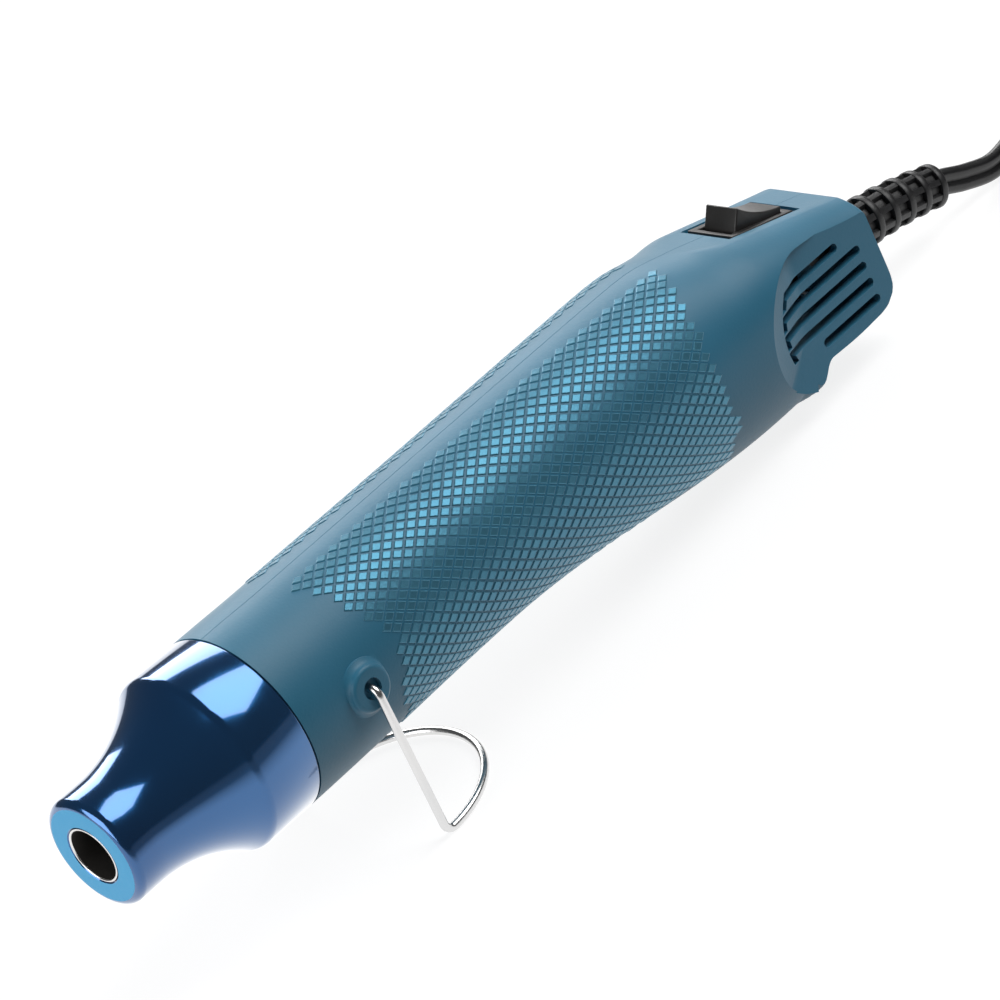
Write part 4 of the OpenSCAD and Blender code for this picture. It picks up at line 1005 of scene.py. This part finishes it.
def make_stand():
    half = stand_path()
    path = half + [(x, -y, z) for x, y, z in reversed(half[:-1])]
    last = len(path) - 1
    pivot = at(STAND_X, 0, 0)
    side = Vector((1, 0, 0))
    rings = []
    for i, p in enumerate(path):
        ahead = (Vector(path[min(i + 1, last)]) - Vector(path[max(i - 1, 0)])).normalized()
        side = (side - side.dot(ahead) * ahead).normalized()
        up = ahead.cross(side)
        r = WIRE_R * (WIRE_END_SHARE if i in (0, last) else 1.0)
        rings.append([pivot + (Vector(p) + r * (c * side + s * up)) / 1000 for c, s in circle(24)])
    verts, faces = loft(rings)
    wire = new_mesh("stand_loop", verts, faces, steel_mat, 50, body="stand", merge_at=1e-7)
    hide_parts("stand_wire")


make_stand()


# Switch
ROCKER_HALF, ROCKER_END_H, ROCKER_DIP, ROCKER_FLOOR, ROCKER_HALF_W = 6.6, 4.1, 1.1, 2.6, 5.1
ROCKER_TIP, ROCKER_LINE, ROCKER_PIVOT = math.radians(16), -0.8, 2.2
WELL_HALF, WELL_HALF_W, WELL_DEPTH, BEZEL_EDGE, SWITCH_DEPTH = 7.9, 5.25, 6, 1, 12
ROCKER_ROUND, BEZEL_ROUND = 0.45, 0.3


def make_rocker():
    """The rocker: a block with a dished top, tipped about its pivot."""
    half, keel, floor = ROCKER_HALF, ROCKER_HALF - 3, -ROCKER_FLOOR
    dip_r = (half * half + ROCKER_DIP * ROCKER_DIP) / 2 / ROCKER_DIP
    dip_turn = math.asin(half / dip_r)
    outline = [(-half - 0.3, floor)]
    for i in range(-10, 11):
        f = dip_turn * i / 10
        outline.append((dip_r * math.sin(f), ROCKER_END_H - ROCKER_DIP + dip_r * (1 - math.cos(f))))
    outline += [(half + 0.3, floor), (keel, floor - 0.8), (-keel, floor - 0.8)]
    c, s = math.cos(ROCKER_TIP), math.sin(ROCKER_TIP)
    pivot = ROCKER_LINE - ROCKER_PIVOT
    placed = []
    for u, w in outline:
        up = w + ROCKER_PIVOT
        placed.append((SWITCH_MID + u * c + up * s, pivot - u * s + up * c))
    verts, faces = loft([[pad_point(u, v, w) for u, w in placed] for v in (-ROCKER_HALF_W, ROCKER_HALF_W)])
    rocker = new_mesh("rocker_cap", verts, faces, plastic_mat, 30, body="switch_rocker", merge_at=1e-7)
    bevel(rocker, ROCKER_ROUND, 4, 25)
    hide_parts("rocker")


def make_bezel():
    """The switch's frame: a flat flange with a rounded rim round the well of the rocker."""
    low, high = SWITCH_MID - SWITCH_LEN / 2, SWITCH_MID + SWITCH_LEN / 2
    verts, faces = pad_box(low, high, SWITCH_W / 2 + BEZEL_EDGE, -RECESS_DEPTH + 0.05, 0)
    bezel = new_mesh("switch_frame", verts, faces, plastic_mat, 30, merge_at=1e-7)
    block = pad_box(low + BEZEL_EDGE, high - BEZEL_EDGE, SWITCH_W / 2, -SWITCH_DEPTH, -RECESS_DEPTH + 0.3)
    cut(bezel, [block], "UNION")
    well = pad_box(SWITCH_MID - WELL_HALF, SWITCH_MID + WELL_HALF, WELL_HALF_W, -WELL_DEPTH, 1)
    cut(bezel, [well], "DIFFERENCE")
    bevel(bezel, BEZEL_ROUND, 3, 40)
    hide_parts("switch_body")


make_rocker()
make_bezel()


# Strain relief
RIBS, RIB_W, RIB_OUT, RIB_TAPER, RIB_BASE = 7, 1.9, 0.5, 0.4, 0.5
BARS, BAR_SHARE, BAR_SINK, CORE_SHARE = 8, 0.2, 0.45, 0.72
RELIEF_STEPS = 96


def relief_place(s, y, z):
    """A point beside the strain relief's centre line, which runs straight on inside the tail."""
    if s >= 0:
        x0, z0, slope = relief_point(s)
    else:
        slope = math.radians(EXIT_SLOPE)
        x0, z0 = BODY_LEN + s * math.cos(slope), EXIT_Z - s * math.sin(slope)
    return at(x0 + z * math.sin(slope), y, z0 + z * math.cos(slope))


def rib_r(s):
    return RELIEF_R + RIB_OUT + (RELIEF_END_R - RELIEF_R - RIB_TAPER) * s / RELIEF_LEN


def relief_radius(r, core, n):
    """Radius at step n of a ring: between the ribs only the bars stand out from the core."""
    if not core:
        return r
    phase = (BARS * n / RELIEF_STEPS - 0.5) % 1.0
    return r - BAR_SINK if min(phase, 1 - phase) < BAR_SHARE else r * CORE_SHARE


def make_relief():
    start = RELIEF_R * math.sin(math.radians(EXIT_SLOPE)) + 0.1
    gap = (RELIEF_LEN - RIB_W - start) / (RIBS - 1)
    stations = [(-4.6, 3.5, 0), (-4.4, 4.0, 0), (start - 0.02, 4.0, 0), (start, rib_r(0) - RIB_BASE, 0)]
    for i in range(RIBS):
        s0 = start + gap * i
        s1 = s0 + RIB_W
        r = rib_r(s0)
        stations += [(s0 + 0.12, r - 0.16, 0), (s0 + 0.4, r, 0), (s1 - 0.4, r, 0), (s1 - 0.12, r - 0.16, 0),
                     (s1, r - RIB_BASE, 0)]
        if i < RIBS - 1:
            s2 = s0 + gap
            stations += [(s1 + 0.02, r, 1), (s2 - 0.02, r, 1), (s2, rib_r(s2) - RIB_BASE, 0)]
    rings = []
    for s, r, core in stations:
        radii = [relief_radius(r, core, n) for n in range(RELIEF_STEPS)]
        rings.append([relief_place(s, rr * c, rr * q) for rr, (c, q) in zip(radii, circle(RELIEF_STEPS))])
    verts, faces = loft(rings)
    relief = new_mesh("cord_guard", verts, faces, rubber_mat, 35, merge_at=1e-7)
    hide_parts("strain_relief")


make_relief()


# Floor, lamps and world
FLOOR_HALF, FLOOR_COLOR, FLOOR_ROUGH, FLOOR_GLOW = 6, (0.22, 0.22, 0.222), 0.7, 0.84
WORLD_GLOW = 0.09
# Glow of the floor in glossy rays along its depth: a painted reflection on the tool.
GLOSSY_FADE = {"From Min": -0.18, "From Max": -0.08, "To Min": 0.05, "To Max": 1.1}
LAMP_AIM = Vector((0, 0, 0.04))


def make_floor():
    """A plain floor that the camera sees as white, with the shadow kept.

    In reflections it glows, bright behind the tool and dim in front of it: a painted reflection.
    """
    h = FLOOR_HALF
    mesh = bpy.data.meshes.new("floor")
    mesh.from_pydata([(-h, -h, 0), (h, -h, 0), (h, h, 0), (-h, h, 0)], [], [(0, 1, 2, 3)])
    floor = bpy.data.objects.new("floor", mesh)
    bpy.context.scene.collection.objects.link(floor)
    mat = material("floor", FLOOR_COLOR, FLOOR_ROUGH, spec=0.0)
    nodes, links = mat.node_tree.nodes, mat.node_tree.links
    glow = nodes.new("ShaderNodeEmission")
    path = nodes.new("ShaderNodeLightPath")
    coords = nodes.new("ShaderNodeTexCoord")
    parts = nodes.new("ShaderNodeSeparateXYZ")
    fade = nodes.new("ShaderNodeMapRange")
    for socket, value in GLOSSY_FADE.items():
        fade.inputs[socket].default_value = value
    glossy = nodes.new("ShaderNodeMath")
    glossy.operation = "MULTIPLY"
    seen = nodes.new("ShaderNodeMath")
    seen.operation = "MULTIPLY_ADD"
    seen.inputs[1].default_value = FLOOR_GLOW
    add = nodes.new("ShaderNodeAddShader")
    links.new(coords.outputs["Object"], parts.inputs[0])
    links.new(parts.outputs["Y"], fade.inputs["Value"])
    # Besides its white for the camera, the floor glows for glossy rays: a painted reflection.
    links.new(path.outputs["Is Glossy Ray"], glossy.inputs[0])
    links.new(fade.outputs["Result"], glossy.inputs[1])
    links.new(path.outputs["Is Camera Ray"], seen.inputs[0])
    links.new(glossy.outputs[0], seen.inputs[2])
    links.new(seen.outputs[0], glow.inputs["Strength"])
    links.new(nodes["Principled BSDF"].outputs[0], add.inputs[0])
    links.new(glow.outputs[0], add.inputs[1])
    links.new(add.outputs[0], nodes["Material Output"].inputs["Surface"])
    mesh.materials.append(mat)


def make_lamp(name, toward, distance, size, size_y, strength):
    """A soft panel in a direction given in the tool's axes, with the given brightness."""
    place = LAMP_AIM + turned(toward).normalized() * distance
    turn = (LAMP_AIM - place).to_track_quat("-Z", "Y").to_matrix().to_4x4()
    lamp = bpy.data.lights.new(name, "AREA")
    lamp.shape = "RECTANGLE"
    lamp.size, lamp.size_y = size, size_y
    lamp.energy = strength * math.pi * size * size_y
    obj = bpy.data.objects.new(name, lamp)
    obj.matrix_world = Matrix.Translation(place) @ turn
    bpy.context.scene.collection.objects.link(obj)


def make_world():
    world = bpy.data.worlds.new("studio")
    world.use_nodes = True
    background = world.node_tree.nodes["Background"]
    background.inputs["Color"].default_value = (1, 1, 1, 1)
    background.inputs["Strength"].default_value = WORLD_GLOW
    bpy.context.scene.world = world


make_floor()
make_world()
make_lamp("key", (0.487, -0.319, 0.813), 1.1, 0.75, 0.75, 5.2)
make_lamp("back", (0.487, 0.711, 0.504), 1.3, 1.1, 0.6, 5.6)
make_lamp("front", (-0.94, 0.12, 0.32), 1.0, 0.7, 0.7, 4.2)
bpy.context.scene.view_settings.view_transform = "Standard"
